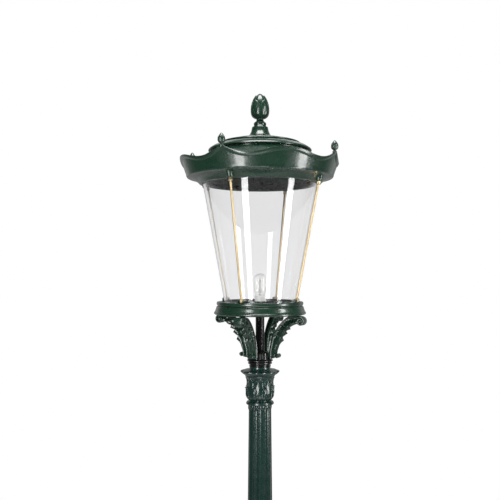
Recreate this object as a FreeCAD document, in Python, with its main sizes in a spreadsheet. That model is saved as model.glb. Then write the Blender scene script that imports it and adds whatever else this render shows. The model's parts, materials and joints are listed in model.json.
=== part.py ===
import FreeCAD
import Part
import math
import os
import Sketcher
from FreeCAD import Placement, Rotation, Vector

# A cast lamp post with an octagonal pedestal, a fluted column and a round glass lantern.
# Origin: centre of the plinth's underside. +Z is up, the front faces -Y.

# Driving dimensions in millimetres and degrees.
DIMENSIONS = {
    # Plinth, an octagonal casting. Apothems are half the width across flats.
    "plinth_slab_apothem": 241.0,
    "plinth_slab_rise": 24.0,
    "plinth_riser_apothem": 226.0,
    "plinth_riser_top": 67.0,
    "plinth_step_apothem": 197.0,
    "plinth_step_top": 98.0,
    "plinth_neck_apothem": 164.0,
    "plinth_rise": 115.0,
    "plinth_wall": 14.0,
    "flange_thickness": 20.0,
    "cable_hole_radius": 70.0,
    "anchor_circle_radius": 120.0,
    "anchor_hole_radius": 12.0,
    # Pedestal, tapering and octagonal
    "pedestal_rise": 651.0,
    "pedestal_wall": 12.0,
    "pedestal_torus_apothem": 168.0,
    "pedestal_base_apothem": 151.0,
    "pedestal_top_apothem": 119.0,
    "pedestal_taper_start": 45.0,
    "pedestal_taper_rise": 551.0,
    "pedestal_bead_apothem": 123.0,
    "pedestal_neck_apothem": 113.0,
    "panel_depth": 3.0,
    "panel_margin": 17.0,
    "panel_foot_gap": 42.0,
    "panel_head_gap": 34.0,
    # Service door in the rear face
    "door_width": 70.0,
    "door_length": 380.0,
    "door_thickness": 8.0,
    "door_sill": 100.0,
    "door_gap": 0.8,
    "door_margin": 10.0,
    "hinge_barrel_radius": 6.0,
    "hinge_barrel_length": 22.0,
    "hinge_pin_radius": 3.0,
    "hinge_pin_fit": 0.06,
    "hinge_side_gap": 0.4,
    "hinge_inset": 50.0,
    "door_screw_radius": 4.0,
    "door_screw_head_radius": 8.0,
    # Cable terminal box on its rail
    "rail_width": 60.0,
    "rail_thickness": 4.0,
    "rail_length": 470.0,
    "rail_set_back": 100.0,
    "terminal_box_width": 92.0,
    "terminal_box_depth": 62.0,
    "terminal_box_length": 150.0,
    "terminal_box_sill": 230.0,
    # Pedestal cap: octagonal brim, leaf torus and bell
    "brim_apothem": 157.0,
    "brim_rise": 30.0,
    "leaf_torus_radius": 133.0,
    "leaf_torus_rise": 50.0,
    "leaf_torus_count": 16.0,
    "bell_foot_radius": 106.0,
    "bell_waist_radius": 81.0,
    "bell_head_radius": 76.0,
    "bell_rise": 164.0,
    "cap_socket_depth": 150.0,
    "cap_bore_radius": 44.0,
    # Column tube and its sleeve
    "tube_radius": 51.0,
    "slip_fit": 0.3,
    "sleeve_rise": 637.0,
    "sleeve_radius": 60.0,
    "sleeve_border_radius": 66.0,
    "drip_radius": 118.0,
    "drip_ring_radius": 79.0,
    "upper_collar_radius": 80.5,
    "leaf_band_rise": 44.0,
    # Fluted shaft
    "shaft_rise": 1098.0,
    "shaft_head_radius": 39.3,
    "shaft_wall": 8.0,
    "flute_count": 12.0,
    "flute_depth": 2.6,
    "shaft_spigot_radius": 28.0,
    "shaft_spigot_rise": 60.0,
    # Capital
    "capital_rise": 133.0,
    "capital_ring_radius": 48.7,
    "capital_belly_radius": 50.6,
    "capital_flare_radius": 68.5,
    "capital_neck_radius": 37.0,
    "capital_leaf_count": 8.0,
    # Stem that carries the lantern, with its bracket collar
    "stem_spool_radius": 42.7,
    "stem_disc_radius": 45.6,
    "stem_disc_rise": 28.0,
    "stem_collar_radius": 36.7,
    "stem_collar_rise": 60.0,
    "stem_tube_radius": 15.5,
    "stem_bore_radius": 11.0,
    "lantern_lift": 182.0,
    # Bracket arms under the gallery
    "arm_count": 4.0,
    "head_turn": -22.5,
    "arm_thickness": 30.0,
    "arm_leaf_thickness": 38.0,
    "arm_rib_thickness": 7.0,
    "arm_reach": 158.0,
    "arm_scroll_radius": 16.0,
    "arm_foot_radius": 67.0,
    "arm_foot_scroll_radius": 9.0,
    "arm_seat_rise": 26.0,
    # Gallery, the dish that the glass stands in
    "gallery_rise": 46.0,
    "gallery_foot_radius": 153.5,
    "gallery_skirt_radius": 162.0,
    "gallery_ring_radius": 152.0,
    "gallery_rim_rise": 5.0,
    "gallery_rim_wall": 5.0,
    "gallery_deck_drop": 6.0,
    "rod_lug_width": 4.0,
    "rod_lug_rise": 11.0,
    "rod_lug_spread": 22.0,
    "gallery_recess_radius": 105.0,
    "gallery_recess_depth": 28.0,
    "gallery_boss_radius": 30.0,
    # Glass
    "glass_foot_radius": 125.6,
    "glass_head_radius": 201.0,
    "glass_wall": 4.0,
    "glass_rise": 414.0,
    # Tie rods
    "rod_radius": 4.0,
    "rod_foot_radius": 139.0,
    "rod_head_radius": 222.0,
    "rod_collar_radius": 7.7,
    "rod_nut_radius": 8.0,
    "rod_boss_radius": 11.0,
    # Crown
    "crown_lift": 408.0,
    "crown_wall": 4.0,
    "soffit_inner_radius": 205.0,
    "soffit_step_radius": 222.0,
    "crown_foot_radius": 256.0,
    "crown_rim_radius": 281.0,
    "crown_band_foot": 27.0,
    "crown_band_valley": 74.0,
    "scallop_cusp_rise": 24.0,
    "scallop_hump_rise": 17.0,
    "rim_bead_height": 15.0,
    "rim_bead_proud": 4.0,
    "roof_rim_lift": 69.0,
    "throat_radius": 173.0,
    "throat_lift": 122.0,
    "roof_throat_lift": 110.0,
    # Lid
    "lid_radius": 182.0,
    "lid_gap": 1.0,
    "lid_wall": 4.0,
    "lid_step_radius": 141.0,
    "lid_step_rise": 28.0,
    "lid_seat_radius": 40.0,
    "lid_rise": 54.0,
    "lid_hinge_offset": 192.0,
    "lid_hinge_span": 56.0,
    "lid_barrel_radius": 6.5,
    "lid_lug_drop": 30.0,
    "cone_screw_radius": 5.0,
    # Finials
    "cone_foot_radius": 39.7,
    "cone_radius": 31.7,
    "cone_rise": 147.0,
    "cone_scale_count": 6.0,
    "small_finial_radius": 13.4,
    "small_finial_rise": 38.0,
    # Lamp
    "holder_radius": 20.0,
    "holder_rise": 27.0,
    "lamp_radius": 22.0,
    "lamp_neck_radius": 16.8,
    "lamp_rise": 78.0,
    "lamp_glass_wall": 1.0,
    "lamp_cap_radius": 13.5,
    "lamp_cap_depth": 18.0,
    "burner_radius": 5.0,
    "burner_rise": 46.0,
}

SIDES = 8
HALF_SIDE_TURN = 180.0 / SIDES
CORNER = 1.0 / math.cos(math.radians(HALF_SIDE_TURN))
SIDE_TAN = math.tan(math.radians(HALF_SIDE_TURN))
FULL_TURN = 360.0

DOC = FreeCAD.newDocument("lamp_post")
NODES = []


class Size:
    """A number with the expression that gives it from the sheet."""

    def __init__(self, value, text):
        self.value = value
        self.text = text

    def __add__(self, other):
        return Size(self.value + number(other), f"({self.text} + {wording(other)})")

    def __radd__(self, other):
        return Size(number(other) + self.value, f"({wording(other)} + {self.text})")

    def __sub__(self, other):
        return Size(self.value - number(other), f"({self.text} - {wording(other)})")

    def __rsub__(self, other):
        return Size(number(other) - self.value, f"({wording(other)} - {self.text})")

    def __mul__(self, other):
        return Size(self.value * number(other), f"({self.text} * {wording(other)})")

    __rmul__ = __mul__

    def __truediv__(self, other):
        return Size(self.value / number(other), f"({self.text} / {wording(other)})")

    def __neg__(self):
        return Size(-self.value, f"(-1 * {self.text})")

    def __float__(self):
        return float(self.value)


def number(item):
    return item.value if isinstance(item, Size) else float(item)


def wording(item):
    return item.text if isinstance(item, Size) else f"{float(item):.9f}"


class Sheet:
    """The spreadsheet of driving dimensions, read by name."""

    def __init__(self, rows):
        self.values = dict(rows)
        table = DOC.addObject("Spreadsheet::Sheet", "Sizes")
        for row, (name, value) in enumerate(rows.items(), start=1):
            table.set(f"A{row}", name)
            table.set(f"B{row}", str(value))
            table.setAlias(f"B{row}", name)

    def __getattr__(self, name):
        return Size(self.values[name], f"Sizes.{name}")


S = Sheet(DIMENSIONS)
DOC.recompute()


# Levels up the post, each the underside of the piece that stands there.
PEDESTAL_Z = S.plinth_rise
CAP_Z = PEDESTAL_Z + S.pedestal_rise
SLEEVE_Z = CAP_Z + S.brim_rise + S.leaf_torus_rise + S.bell_rise
SHAFT_Z = SLEEVE_Z + S.sleeve_rise
CAPITAL_Z = SHAFT_Z + S.shaft_rise
STEM_Z = CAPITAL_Z + S.capital_rise
GALLERY_Z = STEM_Z + S.lantern_lift
GLASS_Z = GALLERY_Z + S.gallery_rise
ARM_Z = STEM_Z + S.stem_disc_rise + 4
DECK_Z = GLASS_Z - S.gallery_deck_drop
CROWN_Z = GLASS_Z + S.crown_lift
LID_Z = CROWN_Z + S.throat_lift + S.lid_gap
HEAD_TURNS = [S.head_turn + FULL_TURN / number(S.arm_count) * i for i in range(int(number(S.arm_count)))]


def bind(item, name, size):
    """Set a property, tied to the sheet where the size comes from it."""
    if isinstance(size, Size):
        item.setExpression(name, size.text)
    else:
        setattr(item, name, size)


def place(item, base=(0, 0, 0), axis=(0, 0, 1), angle=0):
    """Place an object, with each coordinate and the angle tied to the sheet."""
    turn = Rotation(Vector(*axis), number(angle))
    item.Placement = Placement(Vector(*[number(part) for part in base]), turn)
    for letter, part in zip("xyz", base):
        if isinstance(part, Size):
            item.setExpression(f"Placement.Base.{letter}", part.text)
    if isinstance(angle, Size):
        item.setExpression("Placement.Rotation.Angle", angle.text)
    return item


def primitive(kind, name, base=(0, 0, 0), axis=(0, 0, 1), angle=0, **sizes):
    item = DOC.addObject(kind, name)
    for key, size in sizes.items():
        bind(item, key, size)
    return place(item, base, axis, angle)


def fused(name, items):
    item = DOC.addObject("Part::MultiFuse", name)
    item.Shapes = items
    return item


def grouped(name, items):
    item = DOC.addObject("Part::Compound", name)
    item.Links = items
    return item


def removed(name, base, tool):
    item = DOC.addObject("Part::Cut", name)
    item.Base = base
    item.Tool = tool
    return item


def node(label, item):
    """Register a finished sub-part under its own name."""
    item.Label = label
    NODES.append(item)
    return item


def shape_node(label, shape):
    """A sub-part whose form is worked out from the sheet by this script."""
    item = DOC.addObject("Part::Feature", label)
    item.Shape = shape.removeSplitter()
    item.Placement = Placement()
    return item


def origin_plane(body, role):
    return next(part for part in body.Origin.OriginFeatures if part.Role == role)


def arc_centre(start, end, radius):
    """Centre of the short arc from start to end, on the left for a positive radius."""
    middle = (start + end) * 0.5
    chord = end - start
    left = Vector(-chord.y, chord.x, 0).normalize()
    reach = math.sqrt(max(radius * radius - chord.Length ** 2 / 4, 0.0))
    return middle + left * (reach if radius > 0 else -reach)


def outline_sketch(body, name, role, points):
    """A closed outline. A point with a third value is reached by an arc of that radius."""
    sketch = body.newObject("Sketcher::SketchObject", name)
    sketch.AttachmentSupport = [(origin_plane(body, role), "")]
    sketch.MapMode = "FlatFace"
    spots = [Vector(number(point[0]), number(point[1]), 0) for point in points]
    ends = []
    for index, point in enumerate(points):
        start, end = spots[index - 1], spots[index]
        if len(point) == 2:
            edge = sketch.addGeometry(Part.LineSegment(start, end), False)
            ends.append((edge, 1, 2))
            continue
        radius = number(point[2])
        centre = arc_centre(start, end, radius)
        first, last = (start, end) if radius > 0 else (end, start)
        angles = [math.atan2(spot.y - centre.y, spot.x - centre.x) for spot in (first, last)]
        if angles[1] < angles[0]:
            angles[1] += 2 * math.pi
        circle = Part.Circle(centre, Vector(0, 0, 1), abs(radius))
        edge = sketch.addGeometry(Part.ArcOfCircle(circle, *angles), False)
        ends.append((edge, 1, 2) if radius > 0 else (edge, 2, 1))
    for index, point in enumerate(points):
        edge, _, tail = ends[index]
        following, head, _ = ends[(index + 1) % len(points)]
        sketch.addConstraint(Sketcher.Constraint("Coincident", edge, tail, following, head))
        for kind, size in (("DistanceX", point[0]), ("DistanceY", point[1])):
            row = sketch.addConstraint(Sketcher.Constraint(kind, edge, tail, number(size)))
            if isinstance(size, Size):
                sketch.setExpression(f"Constraints[{row}]", size.text)
        if len(point) == 3:
            row = sketch.addConstraint(Sketcher.Constraint("Radius", edge, abs(number(point[2]))))
            if isinstance(point[2], Size):
                sketch.setExpression(f"Constraints[{row}]", f"abs({point[2].text})")
    return sketch


def turned(name, points):
    """A body of revolution about Z from an outline of radius and height."""
    body = DOC.addObject("PartDesign::Body", name)
    sketch = outline_sketch(body, name + "_outline", "XZ_Plane", points)
    spin = body.newObject("PartDesign::Revolution", name + "_turning")
    spin.Profile = sketch
    spin.ReferenceAxis = (sketch, ["V_Axis"])
    spin.Angle = FULL_TURN
    sketch.Visibility = False
    return body


def octagon_stack(name, rings):
    """An octagonal casting through rings of apothem and height, flats to the front."""
    sections = []
    for index, (apothem, height) in enumerate(rings):
        ring = primitive("Part::RegularPolygon", f"{name}_ring_{index}", base=(0, 0, height),
                         angle=HALF_SIDE_TURN, Polygon=SIDES, Circumradius=apothem * CORNER)
        sections.append(ring)
    stack = DOC.addObject("Part::Loft", name + "_stack")
    stack.Sections = sections
    stack.Solid = True
    stack.Ruled = True
    return stack


def polar(radius, angle, height):
    """A point by its radius, its angle in degrees and its height."""
    turn = math.radians(angle)
    return Vector(radius * math.cos(turn), radius * math.sin(turn), height)


def triangle(corners):
    return Part.Face(Part.makePolygon([*corners, corners[0]]))


def strip(low, high):
    """Triangles between two closed rings of as many points."""
    faces = []
    for index in range(len(low)):
        after = (index + 1) % len(low)
        for corners in ((low[index], low[after], high[after]), (low[index], high[after], high[index])):
            if min((corners[i] - corners[i - 1]).Length for i in range(3)) > 1e-6:
                faces.append(triangle(corners))
    return faces


def solid_of(faces):
    solid = Part.makeSolid(Part.makeShell(faces))
    if solid.Volume < 0:
        solid.reverse()
    return solid


def faceted(rings):
    """A carved solid through rings of points, with a flat face at each end."""
    faces = [face for low, high in zip(rings, rings[1:]) for face in strip(low, high)]
    faces.append(Part.Face(Part.makePolygon([*rings[0], rings[0][0]])))
    faces.append(Part.Face(Part.makePolygon([*rings[-1], rings[-1][0]])))
    return solid_of(faces)


def faceted_band(rings):
    """A closed hoop through rings of points, the last joined to the first."""
    faces = [face for index in range(len(rings)) for face in strip(rings[index - 1], rings[index])]
    return solid_of(faces)


def leaf_ring(count, height, ridge, valley):
    """One level of a ring of leaves: valley, shoulder, ridge, shoulder for each leaf."""
    step = FULL_TURN / count
    shoulder = valley + (ridge - valley) * 0.72
    ring = []
    for index in range(count):
        middle = index * step
        ring.append(polar(valley, middle - step / 2, height))
        ring.append(polar(shoulder, middle - step / 4, height))
        ring.append(polar(ridge, middle, height))
        ring.append(polar(shoulder, middle + step / 4, height))
    return ring


def upright_cylinder(radius, low, high):
    return Part.makeCylinder(radius, high - low, Vector(0, 0, low))


def raised_plate(turn, radius, corners, levels):
    """A carving on a round barrel: an outline of across and height corners, stacked outward.

    Each level is a distance beyond the radius and the outline's share of its full size there."""
    out = polar(1, turn, 0)
    side = Vector(-out.y, out.x, 0)
    middle = (corners[0] + corners[len(corners) // 2]) * 0.5
    rings = []
    for proud, share in levels:
        spots = [middle + (corner - middle) * share for corner in corners]
        rings.append([out * (radius + proud) + side * spot.x + Vector(0, 0, spot.y) for spot in spots])
    return faceted(rings)


def plinth():
    """Stepped octagonal foot, hollow, with an inner flange for the anchor bolts."""
    outer = octagon_stack("plinth_outer", [
        (S.plinth_slab_apothem, S.plinth_rise * 0),
        (S.plinth_slab_apothem, S.plinth_slab_rise),
        (S.plinth_riser_apothem + 4, S.plinth_slab_rise + 6),
        (S.plinth_riser_apothem, S.plinth_slab_rise + 8),
        (S.plinth_riser_apothem, S.plinth_riser_top),
        (S.plinth_riser_apothem - 8, S.plinth_riser_top + 6),
        (S.plinth_step_apothem + 6, S.plinth_riser_top + 12),
        (S.plinth_step_apothem, S.plinth_riser_top + 20),
        (S.plinth_step_apothem, S.plinth_step_top),
        (S.plinth_neck_apothem + 10, S.plinth_step_top + 6),
        (S.plinth_neck_apothem, S.plinth_rise - 6),
        (S.plinth_neck_apothem, S.plinth_rise),
    ])
    cavity = octagon_stack("plinth_cavity", [
        (S.plinth_riser_apothem - S.plinth_wall, S.flange_thickness),
        (S.plinth_riser_apothem - S.plinth_wall, S.plinth_riser_top - S.plinth_wall),
        (S.plinth_neck_apothem - S.plinth_wall - 8, S.plinth_step_top - S.plinth_wall),
        (S.plinth_neck_apothem - S.plinth_wall - 8, S.plinth_rise + 1),
    ])
    hollow = removed("plinth_shell", outer, cavity)
    holes = [primitive("Part::Cylinder", "plinth_cable_hole", base=(0, 0, -1),
                       Radius=S.cable_hole_radius, Height=S.flange_thickness + 2)]
    for index in range(4):
        # One bolt hole stands under each of the four diagonal faces.
        turn = math.radians(45.0 + 90.0 * index)
        spot = (S.anchor_circle_radius * math.cos(turn), S.anchor_circle_radius * math.sin(turn), -1)
        holes.append(primitive("Part::Cylinder", f"anchor_hole_{index + 1}", base=spot,
                               Radius=S.anchor_hole_radius, Height=S.flange_thickness + 2))
    return node("plinth", removed("plinth", hollow, fused("plinth_holes", holes)))


# The rear face of the pedestal leans in by the taper. Pieces on it are laid out upright,
# with Y outward and Z up the face, and leaned by this placement.
TAPER_RUN = S.pedestal_base_apothem - S.pedestal_top_apothem
TAPER_ANGLE = Size(math.degrees(math.atan(number(TAPER_RUN) / number(S.pedestal_taper_rise))),
                   f"atan({TAPER_RUN.text} / {S.pedestal_taper_rise.text})")
TAPER_Z = PEDESTAL_Z + S.pedestal_taper_start
DOOR_Z = TAPER_Z + S.door_sill
FACE_Y = S.pedestal_base_apothem - S.door_sill * TAPER_RUN / S.pedestal_taper_rise


def lean(item):
    """Lay an object that was drawn upright against the leaning rear face."""
    return place(item, base=(0, FACE_Y, DOOR_Z), axis=(1, 0, 0), angle=TAPER_ANGLE)


HINGE_X = S.door_width / 2 + S.hinge_barrel_radius + 1
HINGE_Y = S.hinge_barrel_radius + 0.5
DOOR_SCREW_HEIGHTS = (S.door_margin * 1.7, S.door_length - S.door_margin * 1.7)
HINGE_HEIGHTS = (S.hinge_inset, S.door_length - S.hinge_inset - S.hinge_barrel_length * 2)


def barrel(name, low, radius, length):
    return primitive("Part::Cylinder", name, base=(-HINGE_X, HINGE_Y, low), Radius=radius, Height=length)


def panel_cutters():
    """Sunk panels with arched ends, one for each face but the rear."""
    body = DOC.addObject("PartDesign::Body", "panel_cutters")
    foot = S.panel_foot_gap
    head = S.pedestal_taper_rise - S.panel_head_gap
    taper = TAPER_RUN / S.pedestal_taper_rise
    foot_half = (S.pedestal_base_apothem - foot * taper) * SIDE_TAN - S.panel_margin
    head_half = (S.pedestal_base_apothem - head * taper) * SIDE_TAN - S.panel_margin
    sketch = outline_sketch(body, "panel_outline", "XZ_Plane", [
        (-foot_half, foot + 24),
        (foot_half, foot + 24, foot_half * 1.35),
        (head_half, head - 22),
        (-head_half, head - 22, head_half * 1.3),
    ])
    # The outline starts on the face beside the rear one and leans with it.
    start = FULL_TURN / SIDES * 5
    turn = Rotation(Vector(0, 1, 0), start) * Rotation(Vector(1, 0, 0), -number(TAPER_ANGLE))
    apothem = S.pedestal_base_apothem
    shift = (apothem * math.sin(math.radians(start)), TAPER_Z, apothem * math.cos(math.radians(start)))
    sketch.AttachmentOffset = Placement(Vector(*[number(part) for part in shift]), turn)
    for letter, part in zip("xyz", shift):
        sketch.setExpression(f"AttachmentOffset.Base.{letter}", part.text)
    pad = body.newObject("PartDesign::Pad", "panel_pad")
    pad.Profile = sketch
    pad.Type = 0
    bind(pad, "Length", S.panel_depth * 2)
    pad.Midplane = True
    DOC.recompute()
    rounds = body.newObject("PartDesign::PolarPattern", "panel_round")
    rounds.Originals = [pad]
    rounds.Axis = (origin_plane(body, "Z_Axis"), [""])
    rounds.Angle = FULL_TURN / SIDES * (SIDES - 2)
    rounds.Occurrences = SIDES - 1
    body.Tip = rounds
    return body


def pedestal():
    """Tapering octagonal casting with mouldings, sunk panels, the door opening and its hinge lugs."""
    top = PEDESTAL_Z + S.pedestal_rise
    taper_top = TAPER_Z + S.pedestal_taper_rise
    outer = octagon_stack("pedestal_outer", [
        (S.pedestal_base_apothem + 5, PEDESTAL_Z),
        (S.pedestal_base_apothem + 8, PEDESTAL_Z + 5),
        (S.pedestal_torus_apothem - 3, PEDESTAL_Z + 9),
        (S.pedestal_torus_apothem, PEDESTAL_Z + 17),
        (S.pedestal_torus_apothem - 3, PEDESTAL_Z + 26),
        (S.pedestal_base_apothem + 7, PEDESTAL_Z + 31),
        (S.pedestal_base_apothem + 2, PEDESTAL_Z + 38),
        (S.pedestal_base_apothem, TAPER_Z),
        (S.pedestal_top_apothem, taper_top),
        (S.pedestal_neck_apothem, taper_top + 5),
        (S.pedestal_neck_apothem, taper_top + 17),
        (S.pedestal_bead_apothem, taper_top + 23),
        (S.pedestal_bead_apothem, taper_top + 35),
        (S.pedestal_neck_apothem, taper_top + 41),
        (S.pedestal_neck_apothem, top),
    ])
    cavity = octagon_stack("pedestal_cavity", [
        (S.pedestal_base_apothem - S.pedestal_wall, PEDESTAL_Z - 1),
        (S.pedestal_base_apothem - S.pedestal_wall, TAPER_Z),
        (S.pedestal_top_apothem - S.pedestal_wall, taper_top),
        (S.pedestal_neck_apothem - S.pedestal_wall, taper_top + 5),
        (S.pedestal_neck_apothem - S.pedestal_wall, top + 1),
    ])
    opening = primitive(
        "Part::Box", "door_opening", Length=S.door_width + S.door_gap * 2, Width=S.pedestal_wall * 4,
        Height=S.door_length + S.door_gap * 2,
        base=(-(S.door_width / 2 + S.door_gap), -S.pedestal_wall * 2, -S.door_gap))
    hatch = lean(grouped("door_hole", [opening]))
    hollow = removed("pedestal_shell", outer, fused("pedestal_hollow", [cavity, hatch]))
    sunk = removed("pedestal_panelled", hollow, panel_cutters())
    pieces = []
    for index, low in enumerate(HINGE_HEIGHTS):
        lug = primitive("Part::Box", f"hinge_lug_{index + 1}",
                        base=(-HINGE_X - S.hinge_barrel_radius, -1, low),
                        Length=S.hinge_barrel_radius * 2 - 0.5, Width=HINGE_Y + 1,
                        Height=S.hinge_barrel_length)
        pieces.append(lug)
        pieces.append(barrel(f"hinge_knuckle_{index + 1}", low, S.hinge_barrel_radius, S.hinge_barrel_length))
    bores = [barrel(f"hinge_bore_{index + 1}", low - 1, S.hinge_pin_radius + S.hinge_pin_fit,
                    S.hinge_barrel_length + 2) for index, low in enumerate(HINGE_HEIGHTS)]
    knuckles = lean(removed("frame_knuckles", fused("knuckle_blanks", pieces), fused("knuckle_bores", bores)))
    # A lug behind each end of the opening takes a door screw.
    behind = -S.door_thickness - S.door_gap
    lugs = []
    holes = []
    for index, height in enumerate(DOOR_SCREW_HEIGHTS):
        low = height - 32 if index == 0 else height - 12
        lugs.append(primitive("Part::Box", f"screw_lug_{index + 1}", Length=40, Height=44,
                              base=(-20, behind - 9, low), Width=9))
        holes.append(primitive("Part::Cylinder", f"screw_lug_hole_{index + 1}", axis=(1, 0, 0), angle=90,
                               base=(0, 1, height), Radius=S.door_screw_radius + 2.5, Height=40))
    seats = lean(removed("screw_lugs", grouped("screw_lug_blanks", lugs), grouped("screw_lug_holes", holes)))
    return node("pedestal", fused("pedestal", [sunk, knuckles, seats]))


def pedestal_door():
    """Flush rear door with a sunk panel and two hinge knuckles."""
    half = S.door_width / 2
    leaf = primitive("Part::Box", "door_leaf", base=(-half, -S.door_thickness, 0),
                     Length=S.door_width, Width=S.door_thickness, Height=S.door_length)
    pieces = [leaf]
    bores = []
    for index, low in enumerate(HINGE_HEIGHTS):
        start = low + S.hinge_barrel_length + S.hinge_side_gap
        strap = primitive("Part::Box", f"door_strap_{index + 1}", base=(-HINGE_X, -1, start),
                          Length=HINGE_X - half + 22, Width=HINGE_Y, Height=S.hinge_barrel_length)
        sweep = primitive("Part::Box", f"door_strap_relief_{index + 1}", base=(-HINGE_X - 1, -2, start - 1),
                          Length=HINGE_X - half + 1, Width=2.5, Height=S.hinge_barrel_length + 2)
        pieces.append(removed(f"door_strap_cut_{index + 1}", strap, sweep))
        pieces.append(barrel(f"door_knuckle_{index + 1}", start, S.hinge_barrel_radius,
                             S.hinge_barrel_length))
        bores.append(barrel(f"door_bore_{index + 1}", start - 1, S.hinge_pin_radius + S.hinge_pin_fit,
                            S.hinge_barrel_length + 2))
    field = primitive("Part::Box", "door_field",
                      base=(-half + S.door_margin, -S.panel_depth, S.door_margin * 3.4),
                      Length=S.door_width - S.door_margin * 2, Width=S.panel_depth + 1,
                      Height=S.door_length - S.door_margin * 6.8)
    screw_holes = []
    for index, height in enumerate(DOOR_SCREW_HEIGHTS):
        screw_holes.append(primitive("Part::Cylinder", f"door_screw_hole_{index + 1}",
                                     base=(0, 1, height), axis=(1, 0, 0), angle=90,
                                     Radius=S.door_screw_radius + S.slip_fit, Height=S.door_thickness + 2))
    sunk = removed("door_sunk", leaf, fused("door_cuts", [field, *screw_holes]))
    pieces[0] = sunk
    whole = fused("door_whole", pieces)
    return node("pedestal_door", lean(removed("pedestal_door", whole, fused("door_bores", bores))))


def door_screws():
    """Two captive screws with dished triangular-key heads, one solid each."""
    screws = []
    for index, height in enumerate(DOOR_SCREW_HEIGHTS):
        shank = primitive("Part::Cylinder", f"screw_shank_{index + 1}", base=(0, 1, height),
                          axis=(1, 0, 0), angle=90, Radius=S.door_screw_radius, Height=S.door_thickness + 5)
        head = primitive("Part::Cylinder", f"screw_head_{index + 1}", base=(0, 5, height),
                         axis=(1, 0, 0), angle=90, Radius=S.door_screw_head_radius, Height=5)
        screws.append(fused(f"door_screw_{index + 1}", [shank, head]))
    return node("door_screws", lean(grouped("door_screws", screws)))


def hinge_pins():
    pins = []
    for index, low in enumerate(HINGE_HEIGHTS):
        pins.append(barrel(f"hinge_pin_{index + 1}", low - 1, S.hinge_pin_radius,
                           S.hinge_barrel_length * 2 + S.hinge_side_gap + 2))
    return node("door_hinge_pins", lean(grouped("door_hinge_pins", pins)))


def mounting_rail():
    """Folded steel strip that stands on the plinth's flange."""
    body = DOC.addObject("PartDesign::Body", "mounting_rail")
    back = -S.rail_set_back
    foot_top = S.flange_thickness + S.rail_thickness
    sketch = outline_sketch(body, "rail_outline", "YZ_Plane", [
        (back, S.flange_thickness),
        (back + 40, S.flange_thickness),
        (back + 40, foot_top),
        (back + S.rail_thickness, foot_top),
        (back + S.rail_thickness, S.flange_thickness + S.rail_length),
        (back, S.flange_thickness + S.rail_length),
    ])
    pad = body.newObject("PartDesign::Pad", "rail_pad")
    pad.Profile = sketch
    bind(pad, "Length", S.rail_width)
    pad.Midplane = True
    return node("mounting_rail", body)


def terminal_box():
    """Cable terminal box with a lipped cover and two glands under it."""
    front = -S.rail_set_back + S.rail_thickness
    half = S.terminal_box_width / 2
    case_depth = S.terminal_box_depth * 0.6
    case = primitive("Part::Box", "box_case", base=(-half, front, S.terminal_box_sill),
                     Length=S.terminal_box_width, Width=case_depth, Height=S.terminal_box_length)
    cover = primitive("Part::Box", "box_cover", base=(-half - 2, front + case_depth, S.terminal_box_sill - 2),
                      Length=S.terminal_box_width + 4, Width=S.terminal_box_depth * 0.4,
                      Height=S.terminal_box_length + 4)
    glands = [primitive("Part::Prism", f"gland_{index + 1}", Polygon=6, Circumradius=12, Height=22,
                        base=(side * S.terminal_box_width / 4, front + S.terminal_box_depth * 0.3,
                              S.terminal_box_sill - 20)) for index, side in enumerate((-1, 1))]
    return node("terminal_box", fused("terminal_box", [case, cover, *glands]))


BELL_LEAVES = 12


def pedestal_cap():
    """Octagonal brim, a torus of curled leaves and a round bell, in one casting."""
    torus_z = CAP_Z + S.brim_rise
    bell_z = torus_z + S.leaf_torus_rise
    top = bell_z + S.bell_rise
    brim = octagon_stack("cap_brim", [
        (S.pedestal_neck_apothem + 3, CAP_Z),
        (S.brim_apothem - 12, CAP_Z + 4),
        (S.brim_apothem - 2, CAP_Z + 9),
        (S.brim_apothem, CAP_Z + 12),
        (S.brim_apothem, CAP_Z + 19),
        (S.brim_apothem - 5, CAP_Z + 24),
        (S.leaf_torus_radius - 12, CAP_Z + S.brim_rise),
    ])
    low = number(torus_z)
    rise = number(S.leaf_torus_rise)
    wide = number(S.leaf_torus_radius)
    count = int(number(S.leaf_torus_count))
    curl = [(0.0, -24, 3), (0.14, -9, 8), (0.38, -1, 9), (0.62, -1, 8), (0.85, -8, 7), (1.0, -19, 4)]
    leaves = shape_node("cap_leaves", faceted(
        [leaf_ring(count, low + rise * share, wide + drop, wide + drop - cut) for share, drop, cut in curl]))
    # Leaves stand against the foot of the bell: height above it, ridge and valley radius against its foot.
    drape = [(2, -1, -3), (8, 3, -2), (22, -1, -9), (38, -8, -17), (52, -11.5, -22), (59, -11, -23),
             (61, -14, -24)]
    foot = number(bell_z)
    round_foot = number(S.bell_foot_radius)
    drapery = shape_node("cap_drapery", faceted(
        [leaf_ring(BELL_LEAVES, foot + height, round_foot + ridge, round_foot + valley)
         for height, ridge, valley in drape]))
    bell = turned("cap_bell", [
        (S.cap_bore_radius, bell_z - 4),
        (S.bell_foot_radius, bell_z - 4),
        (S.bell_foot_radius, bell_z + 8),
        (S.bell_waist_radius, bell_z + S.bell_rise * 0.56, -S.bell_rise * 0.95),
        (S.bell_head_radius, top - 9),
        (S.bell_head_radius + 3, top - 5),
        (S.bell_head_radius - 2, top),
        (S.cap_bore_radius, top),
    ])
    bores = [primitive("Part::Cylinder", "cap_bore", base=(0, 0, CAP_Z - 1), Radius=S.cap_bore_radius,
                       Height=S.brim_rise + S.leaf_torus_rise + S.bell_rise + 2),
             primitive("Part::Cylinder", "cap_socket", base=(0, 0, top - S.cap_socket_depth),
                       Radius=S.tube_radius + S.slip_fit, Height=S.cap_socket_depth + 1)]
    whole = fused("cap_whole", [brim, leaves, bell, drapery])
    return node("pedestal_cap", removed("pedestal_cap", whole, fused("cap_hollow", bores)))


VINES = 6
VINE_PITCH = 52.5
VINE_SWAY = 11.0
LEAF_HALF_LENGTH = 13.0
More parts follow.
